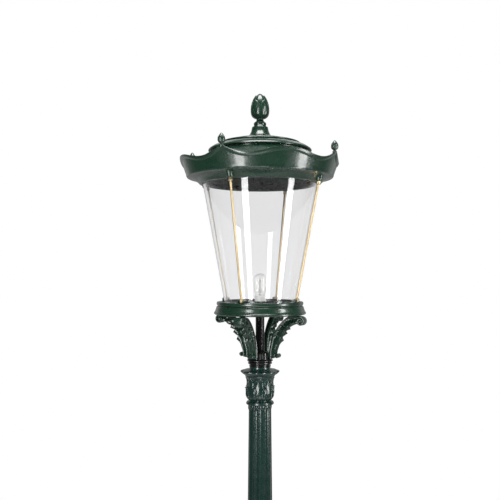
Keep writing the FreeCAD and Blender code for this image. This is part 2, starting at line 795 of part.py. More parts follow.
# A leaf's outline across and along it, in half lengths, from its root to its tip and back.
LEAF_CORNERS = ((0, -1), (0.45, -0.45), (0.52, 0.1), (0, 1), (-0.52, 0.1), (-0.45, -0.45))
BORDER_BEADS = 24
BAND_LEAVES = 12


def vine(turn, low, high, radius):
    """One strand of leaves on a winding stem, carved on the barrel between two heights."""
    pieces = []
    count = int((high - low) / VINE_PITCH)
    for index in range(count):
        side = 1 if index % 2 else -1
        start = low + VINE_PITCH * index
        sway = Vector(side * VINE_SWAY, VINE_PITCH, 0)
        foot = Vector(-side * VINE_SWAY / 2, start, 0)
        width = Vector(1.6, 0, 0)
        stem = [foot - width, foot + width, foot + sway + width, foot + sway - width]
        pieces.append(raised_plate(turn, radius, stem, ((-3, 1), (1.2, 1), (2, 0.97))))
        lean = math.radians(-38.0 * side)
        reach = side * (VINE_SWAY + 6)
        leaf = []
        for across, along in LEAF_CORNERS:
            x = across * math.cos(lean) - along * math.sin(lean)
            y = across * math.sin(lean) + along * math.cos(lean)
            leaf.append(Vector(x, y, 0) * LEAF_HALF_LENGTH + Vector(0, start + VINE_PITCH * 0.62, 0))
        pieces.append(raised_plate(turn + math.degrees(reach / radius), radius, leaf,
                                   ((-3, 1), (0.8, 1), (3.4, 0.35))))
    return pieces


def beaded_ring(height, radius):
    """A border of beads round the barrel."""
    return faceted([leaf_ring(BORDER_BEADS, height - 5, radius - 2, radius - 3),
                    leaf_ring(BORDER_BEADS, height, radius + 3.5, radius - 0.5),
                    leaf_ring(BORDER_BEADS, height + 5, radius - 2, radius - 3)])


def sleeve_carving(low, high):
    """Vines up the barrel between two heights, with a beaded border beyond each end."""
    radius = number(S.sleeve_radius)
    pieces = []
    for index in range(VINES):
        pieces += vine(FULL_TURN / VINES * index, low + 3, high - 3, radius)
    bore = upright_cylinder(number(S.tube_radius) + number(S.slip_fit), low - 40, high + 40)
    for height in (low - 8.5, high + 8.5):
        pieces.append(beaded_ring(height, number(S.sleeve_border_radius)).cut(bore))
    return pieces[0].fuse(pieces[1:])


def column_sleeve():
    """Ornamental sleeve that slips over the column tube, from the drip flange to the leaf band."""
    bore = S.tube_radius + S.slip_fit
    top = SLEEVE_Z + S.sleeve_rise
    band_z = top - S.leaf_band_rise
    body = turned("sleeve_body", [
        (bore, SLEEVE_Z),
        (S.bell_head_radius - 2, SLEEVE_Z),
        (S.drip_ring_radius, SLEEVE_Z + 8),
        (S.drip_radius, SLEEVE_Z + 22),
        (S.drip_radius, SLEEVE_Z + 28),
        (S.drip_ring_radius, SLEEVE_Z + 51, S.drip_radius * 0.55),
        (S.drip_ring_radius - 5, SLEEVE_Z + 60),
        (S.drip_ring_radius - 5, SLEEVE_Z + 79, 10.5),
        (S.sleeve_border_radius, SLEEVE_Z + 84),
        (S.sleeve_border_radius, SLEEVE_Z + 96),
        (S.sleeve_radius, SLEEVE_Z + 99),
        (S.sleeve_radius, band_z - 66),
        (S.sleeve_border_radius, band_z - 63),
        (S.sleeve_border_radius, band_z - 52),
        (S.upper_collar_radius - 8, band_z - 38, -16),
        (S.upper_collar_radius - 2, band_z - 32),
        (S.upper_collar_radius - 2, band_z - 12, 10.5),
        (S.sleeve_radius - 3, band_z),
        (S.sleeve_radius - 6, top),
        (bore, top),
    ])
    low = number(band_z)
    rise = number(S.leaf_band_rise)
    wide = number(S.sleeve_radius)
    levels = ((-0.02, -1, 3), (0.3, 1.5, 4), (0.7, 2.5, 5), (0.97, 0, 6))
    petals = faceted([leaf_ring(BAND_LEAVES, low + rise * share, wide + lift, wide + lift - cut)
                      for share, lift, cut in levels])
    tube = upright_cylinder(number(bore), low - 10, low + rise + 10)
    band = shape_node("sleeve_petals", petals.cut(tube))
    carving = shape_node("sleeve_carving", sleeve_carving(number(SLEEVE_Z) + 99, low - 66))
    return node("column_sleeve", fused("column_sleeve", [body, band, carving]))


def shaft():
    """Column tube below, fluted and tapering above, with a spigot for the capital."""
    top = number(CAPITAL_Z)
    foot = number(SHAFT_Z)
    count = int(number(S.flute_count))
    depth = number(S.flute_depth)

    def fluted_ring(radius, height):
        edges = []
        step = FULL_TURN / count
        for index in range(count):
            ends = [polar(radius, step * (index + share), height) for share in (0.0, 1.0)]
            middle = polar(radius * math.cos(math.radians(step / 2)) - depth, step * (index + 0.5), height)
            edges.append(Part.Arc(ends[0], middle, ends[1]).toShape())
        return Part.Wire(edges)

    fluted = Part.makeLoft([fluted_ring(number(S.tube_radius), foot),
                            fluted_ring(number(S.shaft_head_radius), top)], True, True)
    hidden = number(S.sleeve_rise) + number(S.cap_socket_depth)
    tube = upright_cylinder(number(S.tube_radius), foot - hidden, foot + 6)
    spigot = upright_cylinder(number(S.shaft_spigot_radius), top - 1, top + number(S.shaft_spigot_rise))
    whole = tube.fuse([fluted, spigot])
    wall = number(S.shaft_wall)
    bore_low = number(S.tube_radius) - wall
    bore_high = number(S.shaft_spigot_radius) - wall
    hollow = upright_cylinder(bore_low, foot - hidden - 1, foot)
    narrowing = Part.makeCone(bore_low, bore_high, top - foot, Vector(0, 0, foot))
    outlet = upright_cylinder(bore_high, top, top + number(S.shaft_spigot_rise) + 1)
    return node("shaft", shape_node("shaft", whole.cut(hollow.fuse([narrowing, outlet]))))


def capital():
    """Leaf capital with an astragal below and a flared, eight-leaved head."""
    low = number(CAPITAL_Z)
    rise = number(S.capital_rise)
    belly = number(S.capital_belly_radius)
    flare = number(S.capital_flare_radius)
    neck = number(S.capital_neck_radius)
    ring = number(S.capital_ring_radius)
    count = int(number(S.capital_leaf_count))
    levels = (
        (0.0, ring - 3, 0.5), (0.02, ring, 0.5), (0.07, ring, 0.5), (0.09, ring - 6, 1.0),
        (0.12, neck, 1.0), (0.16, neck + 1, 2.0), (0.23, neck + 6, 5.0), (0.34, belly + 1, 6.0),
        (0.46, belly + 2.5, 5.0), (0.52, belly, 7.0), (0.65, belly - 1, 5.0), (0.76, belly + 8, 5.0),
        (0.855, flare + 1, 9.0), (0.89, flare - 3, 8.0), (0.91, neck + 10, 2.0), (0.93, neck, 0.5),
        (1.0, neck, 0.5),
    )
    leaves = faceted([leaf_ring(count, low + rise * share, wide, wide - cut) for share, wide, cut in levels])
    bore = upright_cylinder(number(S.shaft_spigot_radius) + number(S.slip_fit), low - 1, low + rise + 1)
    return node("capital", shape_node("capital", leaves.cut(bore)))


def lantern_stem():
    """Turned stem: spool, disc and bracket collar with the cable tube up to the gallery."""
    top = GALLERY_Z + S.gallery_rise - 14
    return node("lantern_stem", turned("lantern_stem", [
        (S.stem_bore_radius, STEM_Z),
        (S.stem_spool_radius - 4, STEM_Z),
        (S.stem_spool_radius, STEM_Z + 4),
        (S.stem_spool_radius, STEM_Z + 16),
        (S.stem_disc_radius, STEM_Z + 18),
        (S.stem_disc_radius, STEM_Z + 23),
        (S.stem_collar_radius, STEM_Z + S.stem_disc_rise),
        (S.stem_collar_radius, STEM_Z + S.stem_collar_rise),
        (S.stem_tube_radius, STEM_Z + S.stem_collar_rise + 6),
        (S.stem_tube_radius, top),
        (S.stem_bore_radius, top),
    ]))


def bowed(start, end, bow, count):
    """Points on the circular arc from start to end whose middle stands off by bow."""
    chord = end - start
    side = Vector(-chord.y, chord.x, 0).normalize()
    middle = (start + end) * 0.5 + side * bow
    arc = Part.Arc(start, middle, end).toShape()
    return arc.discretize(count)


LEAF_OUT = Vector(0.78, -0.62, 0)


def arm_leaf_edge():
    """The toothed outer edge of an arm's leaf, from the head scroll down to the foot scroll."""
    start = Vector(number(S.arm_reach) - 19, number(GALLERY_Z) - 25, 0)
    end = Vector(number(S.arm_foot_radius), number(ARM_Z) + number(S.arm_foot_scroll_radius) * 2 + 8, 0)
    curve = bowed(start, end, -7, 13)
    return [point + LEAF_OUT * (3.5 if index % 2 else -1.5) for index, point in enumerate(curve)]


def scroll_points(centre, radius, turns):
    """Points round a scroll in side view, at the given angles in degrees."""
    return [Vector(centre.x + radius * math.cos(math.radians(turn)),
                   centre.y + radius * math.sin(math.radians(turn)), 0) for turn in turns]


def arm_outline():
    """Side view of a bracket arm as radius and height: scrolls joined by a bowed, toothed leaf."""
    seat = number(S.stem_collar_radius) + 0.3
    foot_z = number(ARM_Z)
    under = number(GALLERY_Z)
    reach = number(S.arm_reach)
    curl = number(S.arm_scroll_radius)
    heel = Vector(number(S.arm_foot_radius), foot_z + number(S.arm_foot_scroll_radius), 0)
    inner_low = Vector(seat, foot_z + number(S.arm_seat_rise), 0)
    inner_high = Vector(reach - 49, under, 0)
    points = bowed(inner_low, inner_high, 15, 8)
    points += scroll_points(Vector(reach, under - curl, 0), curl, (90, 60, 30, 0, -30, -60, -90, -120))
    points += arm_leaf_edge()
    points += scroll_points(heel, number(S.arm_foot_scroll_radius), (60, 30, 0, -30, -60, -90, -130))
    points.append(Vector(heel.x - number(S.arm_foot_scroll_radius) - 3, foot_z + 4, 0))
    points.append(Vector(seat, foot_z, 0))
    return points


def extruded_across(points, thickness):
    """A plate in the XZ plane through radius and height points, centred on Y."""
    spots = [Vector(point.x, -thickness / 2, point.y) for point in points]
    face = Part.Face(Part.makePolygon([*spots, spots[0]]))
    return face.extrude(Vector(0, thickness, 0))


def bracket_arms():
    """Four scrolled arms between the stem's collar and the gallery, each with a wider toothed leaf."""
    web = extruded_across(arm_outline(), number(S.arm_thickness))
    edge = arm_leaf_edge()
    root = [point - LEAF_OUT * 15 for point in reversed(edge[::2])]
    leaf = extruded_across([*edge, *root], number(S.arm_leaf_thickness))
    crest = [point + LEAF_OUT * 3.5 for point in edge[::2]]
    midrib = [edge[0] - LEAF_OUT * 4, *crest, edge[-1] - LEAF_OUT * 4]
    rib = extruded_across(midrib, number(S.arm_rib_thickness))
    shape = web.fuse([leaf, rib])
    for index, turn in enumerate(HEAD_TURNS):
        item = shape_node(f"bracket_arm_{index + 1}", shape)
        place(item, angle=turn)
        node(f"bracket_arm_{index + 1}", item)


def gallery():
    """Cast dish: skirt and ring outside, a rim that locates the glass, lugs beside each rod."""
    rim_radius = S.glass_foot_radius - S.glass_wall - S.slip_fit
    rim_top = GLASS_Z + S.gallery_rim_rise
    recess = GALLERY_Z + S.gallery_recess_depth
    body = turned("gallery_body", [
        (S.stem_tube_radius + S.slip_fit, GALLERY_Z + 4),
        (S.gallery_boss_radius, GALLERY_Z + 4),
        (S.gallery_boss_radius, recess),
        (S.gallery_recess_radius, recess),
        (S.gallery_recess_radius, GALLERY_Z),
        (S.gallery_foot_radius, GALLERY_Z),
        (S.gallery_skirt_radius, GALLERY_Z + 5),
        (S.gallery_ring_radius - 1, GALLERY_Z + 18),
        (S.gallery_ring_radius - 4, GALLERY_Z + 30),
        (S.gallery_ring_radius, GALLERY_Z + 33),
        (S.gallery_ring_radius, GLASS_Z),
        (rim_radius, GLASS_Z),
        (rim_radius, rim_top),
        (rim_radius - S.gallery_rim_wall, rim_top),
        (rim_radius - S.gallery_rim_wall, DECK_Z),
        (S.stem_tube_radius + S.slip_fit, DECK_Z),
    ])
    lugs = []
    for turn in HEAD_TURNS:
        for side in (-1, 1):
            lug = Part.makeBox(12, number(S.rod_lug_width), number(S.rod_lug_rise) + 2,
                               Vector(number(S.rod_foot_radius) - 6, -number(S.rod_lug_width) / 2,
                                      number(GLASS_Z) - 2))
            lug.translate(Vector(0, side * number(S.rod_lug_spread) / 2, 0))
            lug.rotate(Vector(), Vector(0, 0, 1), number(turn))
            lugs.append(lug)
    pairs = shape_node("gallery_lugs", Part.makeCompound(lugs))
    return node("gallery", fused("gallery", [body, pairs]))


def glass_cone():
    """One clear tapering glass, open at both ends."""
    return node("glass_cone", turned("glass_cone", [
        (S.glass_foot_radius - S.glass_wall, GLASS_Z),
        (S.glass_foot_radius, GLASS_Z),
        (S.glass_head_radius, GLASS_Z + S.glass_rise),
        (S.glass_head_radius - S.glass_wall, GLASS_Z + S.glass_rise),
    ]))


ROD_RUN = S.rod_head_radius - S.rod_foot_radius
ROD_RISE = S.crown_lift + 12
ROD_ANGLE = math.degrees(math.atan(number(ROD_RUN) / number(ROD_RISE)))
ROD_LENGTH = math.hypot(number(ROD_RUN), number(ROD_RISE))
# The rod's end sits this deep in its boss under the soffit.
BOSS_DEPTH = 12.0


def on_rod(item_shape, turn):
    """Lean a shape that was drawn along Z from the rod's foot, then turn it to its arm."""
    shape = item_shape.copy()
    shape.rotate(Vector(), Vector(0, 1, 0), ROD_ANGLE)
    shape.translate(Vector(number(S.rod_foot_radius), 0, number(GLASS_Z)))
    shape.rotate(Vector(), Vector(0, 0, 1), number(turn))
    return shape


def six_sided(corner_radius, low, high):
    """An upright six-sided prism."""
    spots = [polar(corner_radius, FULL_TURN / 6 * index, low) for index in range(6)]
    return Part.Face(Part.makePolygon([*spots, spots[0]])).extrude(Vector(0, 0, high - low))


def tie_rods():
    """Four brass rods outside the glass, with a collared nut near the top and a cup nut at the foot."""
    radius = number(S.rod_radius)
    bore = radius + number(S.slip_fit)
    for index, turn in enumerate(HEAD_TURNS):
        rod = Part.makeCylinder(radius, ROD_LENGTH - 1.2, Vector(0, 0, 1.2))
        node(f"tie_rod_{index + 1}", shape_node(f"tie_rod_{index + 1}", on_rod(rod, turn)))
    heads = []
    feet = []
    for turn in HEAD_TURNS:
        collar = Part.makeCylinder(number(S.rod_collar_radius), 7, Vector(0, 0, ROD_LENGTH - BOSS_DEPTH - 18))
        under_boss = ROD_LENGTH - BOSS_DEPTH
        nut = six_sided(number(S.rod_nut_radius) - 1.4, under_boss - 11.5, under_boss - 0.2)
        clear = Part.makeCylinder(bore, 30, Vector(0, 0, ROD_LENGTH - BOSS_DEPTH - 20))
        heads.append(on_rod(collar.fuse([nut]).cut(clear), turn))
        cup = Part.makeCylinder(number(S.rod_nut_radius), 12, Vector(0, 0, 2))
        feet.append(on_rod(cup.cut(Part.makeCylinder(bore, 14, Vector(0, 0, 1))), turn))
    node("rod_head_nuts", shape_node("rod_head_nuts", Part.makeCompound(heads)))
    node("rod_foot_nuts", shape_node("rod_foot_nuts", Part.makeCompound(feet)))


def scallop(angle):
    """Height of the crown's rim above its valleys, by the angle from a small finial."""
    cusp = number(S.scallop_cusp_rise)
    hump = number(S.scallop_hump_rise)
    half = FULL_TURN / number(S.arm_count) / 2
    valley = half * 0.4
    away = abs((angle + half) % (half * 2) - half)
    if away <= valley:
        return min(cusp, (cusp + 3) * (1 - away / valley) ** 2)
    return hump * (1 - math.cos(math.pi * (away - valley) / (half - valley))) / 2


def crown_band():
    """The flared band with its scalloped edge and raised bead, as one hoop."""
    foot = number(CROWN_Z) + number(S.crown_band_foot)
    valley = number(CROWN_Z) + number(S.crown_band_valley)
    foot_radius = number(S.crown_foot_radius)
    bead = number(S.rim_bead_height)
    proud = number(S.rim_bead_proud)
    wall = number(S.crown_wall)
    flare = (number(S.crown_rim_radius) - foot_radius) / (valley + number(S.scallop_cusp_rise) - foot)
    quarter = FULL_TURN / number(S.arm_count)
    shares = (0, 0.035, 0.08, 0.13, 0.2, 0.28, 0.36, 0.43, 0.5, 0.57, 0.64, 0.72, 0.8, 0.87, 0.92, 0.965)
    angles = [quarter * (index + share) for index in range(int(number(S.arm_count))) for share in shares]

    def ring(height_of, offset):
        points = []
        for angle in angles:
            height = height_of(valley + scallop(angle))
            radius = foot_radius + (height - foot) * flare + offset
            points.append(polar(radius, angle + number(S.head_turn), height))
        return points

    return faceted_band([
        ring(lambda edge: foot, -wall - 2),
        ring(lambda edge: foot, 0),
        ring(lambda edge: edge - bead, 0),
        ring(lambda edge: edge - bead + 2, proud),
        ring(lambda edge: edge - 2.5, proud),
        ring(lambda edge: edge, proud - 2.5),
        ring(lambda edge: edge, -wall),
        ring(lambda edge: valley - 8, -wall - 1),
    ])


def crown():
    """Spun canopy: scalloped band, roof up to the throat and a sloping soffit, one piece."""
    wall = S.crown_wall
    foot = CROWN_Z + S.crown_band_foot
    roof_rim = CROWN_Z + S.roof_rim_lift
    roof_throat = CROWN_Z + S.roof_throat_lift
    roof = turned("crown_roof", [
        (S.throat_radius - wall, roof_throat - wall),
        (S.crown_rim_radius - 14, roof_rim - wall),
        (S.crown_rim_radius - 12, roof_rim),
        (S.throat_radius, roof_throat),
        (S.throat_radius, CROWN_Z + S.throat_lift),
        (S.throat_radius - wall, CROWN_Z + S.throat_lift),
    ])
    soffit = turned("crown_soffit", [
        (S.soffit_inner_radius, CROWN_Z),
        (S.soffit_step_radius - 3, CROWN_Z + 7),
        (S.soffit_step_radius, CROWN_Z + 11),
        (S.crown_foot_radius - 3, foot + 0.6),
        (S.crown_foot_radius - 4, foot + wall + 1),
        (S.soffit_inner_radius, CROWN_Z + wall + 6),
    ])
    bosses = []
    bores = []
    for turn in HEAD_TURNS:
        boss = Part.makeCylinder(number(S.rod_boss_radius), BOSS_DEPTH + 6,
                                 Vector(0, 0, ROD_LENGTH - BOSS_DEPTH))
        bosses.append(on_rod(boss, turn))
        bore = Part.makeCylinder(number(S.rod_radius) + number(S.slip_fit), BOSS_DEPTH + 1.3,
                                 Vector(0, 0, ROD_LENGTH - BOSS_DEPTH - 1))
        bores.append(on_rod(bore, turn))
    band = shape_node("crown_scallops", crown_band())
    pads = shape_node("crown_bosses", Part.makeCompound(bosses))
    sockets = shape_node("crown_boss_bores", Part.makeCompound(bores))
    knuckles = lid_knuckles("crown_knuckles", CROWN_KNUCKLES, True)
    outer = fused("crown_blank", [roof, soffit, band, pads, knuckles])
    bored = fused("crown_bores", [sockets, lid_pin_bore("crown_pin_bore")])
    return node("crown", removed("crown", outer, bored))


# The lid's hinge lies across the rear, just outside the lid's edge.
# Each knuckle is a start and a length along X.
LID_HINGE_Z = LID_Z + 1
CROWN_KNUCKLES = [(-S.lid_hinge_span / 2, S.lid_hinge_span / 4), (S.lid_hinge_span / 4, S.lid_hinge_span / 4)]
LID_KNUCKLES = [(S.hinge_side_gap - S.lid_hinge_span / 4, S.lid_hinge_span / 2 - S.hinge_side_gap * 2)]


def lid_knuckles(name, spans, on_crown):
    """Barrels about the lid's hinge axis, each with a lug down to the roof or in to the lid."""
    radius = S.lid_barrel_radius
    pieces = []
    for index, (start, length) in enumerate(spans):
        pieces.append(primitive("Part::Cylinder", f"{name}_barrel_{index + 1}", axis=(0, 1, 0), angle=90,
                                base=(start, S.lid_hinge_offset, LID_HINGE_Z), Radius=radius, Height=length))
        if on_crown:
            pieces.append(primitive("Part::Box", f"{name}_lug_{index + 1}", Length=length, Width=radius * 2,
                                    Height=S.lid_lug_drop, base=(start, S.lid_hinge_offset - radius,
                                                                 LID_HINGE_Z - S.lid_lug_drop)))
        else:
            pieces.append(primitive("Part::Box", f"{name}_lug_{index + 1}", Length=length, Width=18, Height=3,
                                    base=(start, S.lid_hinge_offset - 18, LID_HINGE_Z + radius - 3)))
    return fused(name, pieces)


def lid_pin_bore(name):
    return primitive("Part::Cylinder", name, axis=(0, 1, 0), angle=90, Height=S.lid_hinge_span + 4,
                     base=(-S.lid_hinge_span / 2 - 2, S.lid_hinge_offset, LID_HINGE_Z),
                     Radius=S.hinge_pin_radius + S.hinge_pin_fit)


def lid_hinge_pin():
    """Pin across the knuckles at the rear of the lid."""
    return node("lid_hinge_pin", primitive(
        "Part::Cylinder", "lid_hinge_pin", axis=(0, 1, 0), angle=90, Radius=S.hinge_pin_radius,
        base=(-S.lid_hinge_span / 2 - 1, S.lid_hinge_offset, LID_HINGE_Z), Height=S.lid_hinge_span + 2))


def lid_dome():
    """Two-tiered domed lid that overhangs the throat, hinged at the rear."""
    wall = S.lid_wall
    body = turned("lid_body", [
        (S.lid_radius - 3, LID_Z),
        (S.lid_radius, LID_Z + 3),
        (S.lid_step_radius, LID_Z + S.lid_step_rise, S.lid_radius * 0.5),
        (S.lid_step_radius, LID_Z + S.lid_step_rise + 3),
        (S.lid_step_radius - 6, LID_Z + S.lid_step_rise + 5),
        (S.lid_seat_radius * 2.2, LID_Z + S.lid_rise - 10),
        (S.lid_seat_radius, LID_Z + S.lid_rise),
        (S.cone_screw_radius + S.slip_fit, LID_Z + S.lid_rise),
        (S.cone_screw_radius + S.slip_fit, LID_Z + S.lid_rise - wall),
        (S.lid_step_radius - wall, LID_Z + S.lid_step_rise - wall),
        (S.throat_radius - wall, LID_Z),
    ])
    whole = fused("lid_whole", [body, lid_knuckles("lid_knuckles", LID_KNUCKLES, False)])
    return node("lid_dome", removed("lid_dome", whole, lid_pin_bore("lid_pin_bore")))


def scale_ring(count, height, tip, root, staggered):
    """One level of pine cone scales: a valley, two shoulders and a tip for each scale."""
    step = FULL_TURN / count
    shoulder = root + (tip - root) * 0.7
    radii = (tip, shoulder, root, shoulder) if staggered else (root, shoulder, tip, shoulder)
    spots = []
    for index in range(count):
        for place_in_scale, radius in enumerate(radii):
            spots.append(polar(radius, (index - 0.5 + place_in_scale / 4) * step, height))
    return spots


def cone_finial():
    """Pine cone on a turned foot, with staggered overlapping scales and a screw into the lid."""
    low = number(LID_Z) + number(S.lid_rise)
    rise = number(S.cone_rise)
    wide = number(S.cone_radius)
    foot = number(S.cone_foot_radius)
    count = int(number(S.cone_scale_count))
    # The foot's profile as shares of the rise and of the foot's radius.
    turnings = ((0.0, 1.0), (0.03, 1.0), (0.08, 0.82), (0.12, 0.75), (0.19, 0.71), (0.2, 0.49), (0.24, 0.49),
                (0.26, 0.51), (0.29, 0.44), (0.33, 0.28), (0.37, 0.27))
    rings = [leaf_ring(count, low + rise * share, foot * full, foot * full) for share, full in turnings]
    # Each tier of scales opens upward: root radius below, tip radius above, as shares of the widest.
    tiers = ((0.395, 0.60, 0.84), (0.485, 0.80, 1.0), (0.585, 0.86, 1.0), (0.69, 0.76, 0.93),
             (0.79, 0.58, 0.74), (0.88, 0.34, 0.52))
    for index, (share, root, tip) in enumerate(tiers):
        staggered = index % 2 == 1
        foot_z = low + rise * share
        rings.append(scale_ring(count, foot_z, wide * root, wide * (root - 0.08), staggered))
        rings.append(scale_ring(count, foot_z + rise * 0.07, wide * tip, wide * (tip - 0.17), staggered))
    rings.append(leaf_ring(count, low + rise * 0.97, wide * 0.2, wide * 0.16))
    rings.append(leaf_ring(count, low + rise, wide * 0.05, wide * 0.04))
    screw = upright_cylinder(number(S.cone_screw_radius), low - 14, low + 2)
    return node("cone_finial", shape_node("cone_finial", faceted(rings).fuse([screw])))


def small_finials():
    """Four small buds on the crown's rim, over the tie rods."""
    low = number(CROWN_Z) + number(S.crown_band_valley) + number(S.scallop_cusp_rise) + 0.2
    rise = number(S.small_finial_rise)
    wide = number(S.small_finial_radius)
    levels = ((0.0, 0.62), (0.06, 0.62), (0.12, 0.34), (0.2, 0.34), (0.3, 0.72), (0.45, 1.0), (0.62, 0.94),
              (0.8, 0.6), (0.93, 0.3), (1.0, 0.08))
    rings = [leaf_ring(4, low + rise * share, wide * full, wide * full * 0.92) for share, full in levels]
    shape = faceted(rings)
    for index, turn in enumerate(HEAD_TURNS):
        item = shape_node(f"small_finial_{index + 1}", shape)
        spot = polar(number(S.crown_rim_radius) - 3, number(turn), 0)
        item.Placement = Placement(spot, Rotation(Vector(0, 0, 1), number(turn)))
        node(f"small_finial_{index + 1}", item)


def lamp_holder():
    """Two-tiered ceramic holder on the gallery's deck."""
    deck = DECK_Z
    top = deck + S.holder_rise
    return node("lamp_holder", turned("lamp_holder", [
        (S.lamp_cap_radius + S.slip_fit, deck + 4),
        (S.lamp_cap_radius + S.slip_fit, top),
        (S.holder_radius - 1.5, top),
        (S.holder_radius - 1.5, deck + 10),
        (S.holder_radius, deck + 9),
        (S.holder_radius, deck),
        (S.stem_bore_radius - 4, deck),
        (S.stem_bore_radius - 4, deck + 4),
    ]))


def lamp():
    """Clear lamp: glass envelope, cap and burner."""
    seat = DECK_Z + S.holder_rise
    wall = S.lamp_glass_wall
    top = seat + S.lamp_rise
    node("lamp_glass", turned("lamp_glass", [
        (S.lamp_neck_radius - wall, seat + S.slip_fit),
        (S.lamp_neck_radius, seat + S.slip_fit),
        (S.lamp_radius, seat + 22),
        (S.lamp_radius, top - S.lamp_radius),
        (0, top, S.lamp_radius),
        (0, top - wall),
        (S.lamp_radius - wall, top - S.lamp_radius, wall - S.lamp_radius),
        (S.lamp_radius - wall, seat + 22),
    ]))
    cap = upright_cylinder(number(S.lamp_cap_radius), number(seat) - number(S.lamp_cap_depth), number(seat))
    stem = upright_cylinder(2.0, number(seat) - 1, number(seat) + 14)
    node("lamp_cap", shape_node("lamp_cap", cap.fuse([stem])))
    foot = number(seat) + 14
    burner = upright_cylinder(number(S.burner_radius), foot, foot + number(S.burner_rise))
    node("lamp_burner", shape_node("lamp_burner", burner))


def check_and_export():
    """Stop on any failed object or shape, then write each sub-part."""
    DOC.recompute()
    for item in DOC.Objects:
        if {"Invalid", "Error"} & set(item.State):
            raise RuntimeError(f"{item.Label} failed: {item.State}")
    for item in NODES:
        if item.Shape.isNull() or not item.Shape.isValid() or not item.Shape.Solids:
            raise RuntimeError(f"{item.Label} has no valid solid")
    os.makedirs("parts", exist_ok=True)
    for item in NODES:
        item.Shape.exportStep(f"parts/{item.Label}.step")


plinth()
pedestal()
pedestal_door()
door_screws()
hinge_pins()
mounting_rail()
terminal_box()
pedestal_cap()
column_sleeve()
shaft()
capital()
lantern_stem()
bracket_arms()
gallery()
glass_cone()
tie_rods()
crown()
lid_dome()
lid_hinge_pin()
cone_finial()
small_finials()
lamp_holder()
lamp()
check_and_export()
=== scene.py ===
import json
import math

import bmesh
import bpy
import numpy as np
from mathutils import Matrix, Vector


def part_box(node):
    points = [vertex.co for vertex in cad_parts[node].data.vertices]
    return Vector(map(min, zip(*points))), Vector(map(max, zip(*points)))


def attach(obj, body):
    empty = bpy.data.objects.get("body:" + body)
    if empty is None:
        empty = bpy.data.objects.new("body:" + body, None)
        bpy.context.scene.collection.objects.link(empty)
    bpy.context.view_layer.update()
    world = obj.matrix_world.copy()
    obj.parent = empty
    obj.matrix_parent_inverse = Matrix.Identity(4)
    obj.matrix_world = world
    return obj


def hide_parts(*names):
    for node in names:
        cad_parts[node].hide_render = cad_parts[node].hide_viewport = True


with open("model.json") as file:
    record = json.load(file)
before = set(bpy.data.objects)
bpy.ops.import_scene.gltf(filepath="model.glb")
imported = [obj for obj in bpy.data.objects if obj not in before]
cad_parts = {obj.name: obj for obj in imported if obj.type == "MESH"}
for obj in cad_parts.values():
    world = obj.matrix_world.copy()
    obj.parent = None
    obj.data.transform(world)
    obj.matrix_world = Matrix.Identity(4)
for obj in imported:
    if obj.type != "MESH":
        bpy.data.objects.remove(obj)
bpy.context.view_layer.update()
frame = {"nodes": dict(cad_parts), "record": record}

# The dress of a cast lamp post: carved castings, clear glass, brass rods and gloss green paint.
# Lengths in the pieces below are millimetres; meshes are made in metres.

MM = 0.001
TAU = 2 * math.pi
SHARP_DEGREES = 38.0
GLASS_SHARP = 24.0
MERGE_DISTANCE = 1e-6
ARMS = 4
HEAD_TURN = -22.5
CROWN_TO_LID = 123.0
LID_RISE = 54.0


def lowest(node):
    """Height of a node's underside in millimetres."""
    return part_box(node)[0].z / MM


def highest(node):
    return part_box(node)[1].z / MM


PEDESTAL_Z = lowest("pedestal")
CAP_Z = lowest("pedestal_cap")
SLEEVE_Z = lowest("column_sleeve")
SHAFT_Z = highest("column_sleeve")
CAPITAL_Z = lowest("capital")
STEM_Z = lowest("lantern_stem")
GALLERY_Z = lowest("gallery")
GLASS_Z = lowest("glass_cone")
GLASS_TOP = highest("glass_cone")
LID_Z = lowest("lid_dome")
CROWN_Z = LID_Z - CROWN_TO_LID
CONE_Z = LID_Z + LID_RISE
ARM_Z = lowest("bracket_arm_1")
HEAD_TURNS = [HEAD_TURN + 360.0 / ARMS * index for index in range(ARMS)]


class Form:
    """Points and quads gathered for one piece."""

    def __init__(self):
        self.points = []
        self.quads = []
        self.count = 0

    def grid(self, points, ring=False, hoop=False):
        """Quads over rows and columns of points. A ring joins the columns' ends, a hoop the rows'."""
        rows, columns = points.shape[:2]
        index = np.arange(rows * columns).reshape(rows, columns) + self.count
        if ring:
            index = np.hstack([index, index[:, :1]])
        if hoop:
            index = np.vstack([index, index[:1]])
        corners = [index[:-1, :-1], index[:-1, 1:], index[1:, 1:], index[1:, :-1]]
        self.quads.append(np.stack(corners, axis=-1).reshape(-1, 4))
        self.points.append(points.reshape(-1, 3))
        self.count += rows * columns

    def tube(self, points):
        """A closed skin over rows of rings, with both ends drawn to their middles."""
        first = np.repeat(points[:1].mean(axis=1, keepdims=True), points.shape[1], axis=1)
        last = np.repeat(points[-1:].mean(axis=1, keepdims=True), points.shape[1], axis=1)
        self.grid(np.concatenate([first, points, last]), ring=True)

    def turned(self, degrees):
        """Turn all that is here about Z."""
        turn = math.radians(degrees)
        cosine, sine = math.cos(turn), math.sin(turn)
        matrix = np.array([[cosine, sine, 0], [-sine, cosine, 0], [0, 0, 1]])
        self.points = [points @ matrix for points in self.points]
        return self

    def join(self, other):
        """Take in all that another form holds."""
        for points, quads in zip(other.points, other.quads):
            self.points.append(points)
            self.quads.append(quads + self.count)
        self.count += other.count

    def mesh(self, name):
        """A mesh of it in metres."""
        mesh = bpy.data.meshes.new(name)
        points = np.concatenate(self.points) * MM
        mesh.from_pydata(points.tolist(), [], np.concatenate(self.quads).tolist())
        return mesh


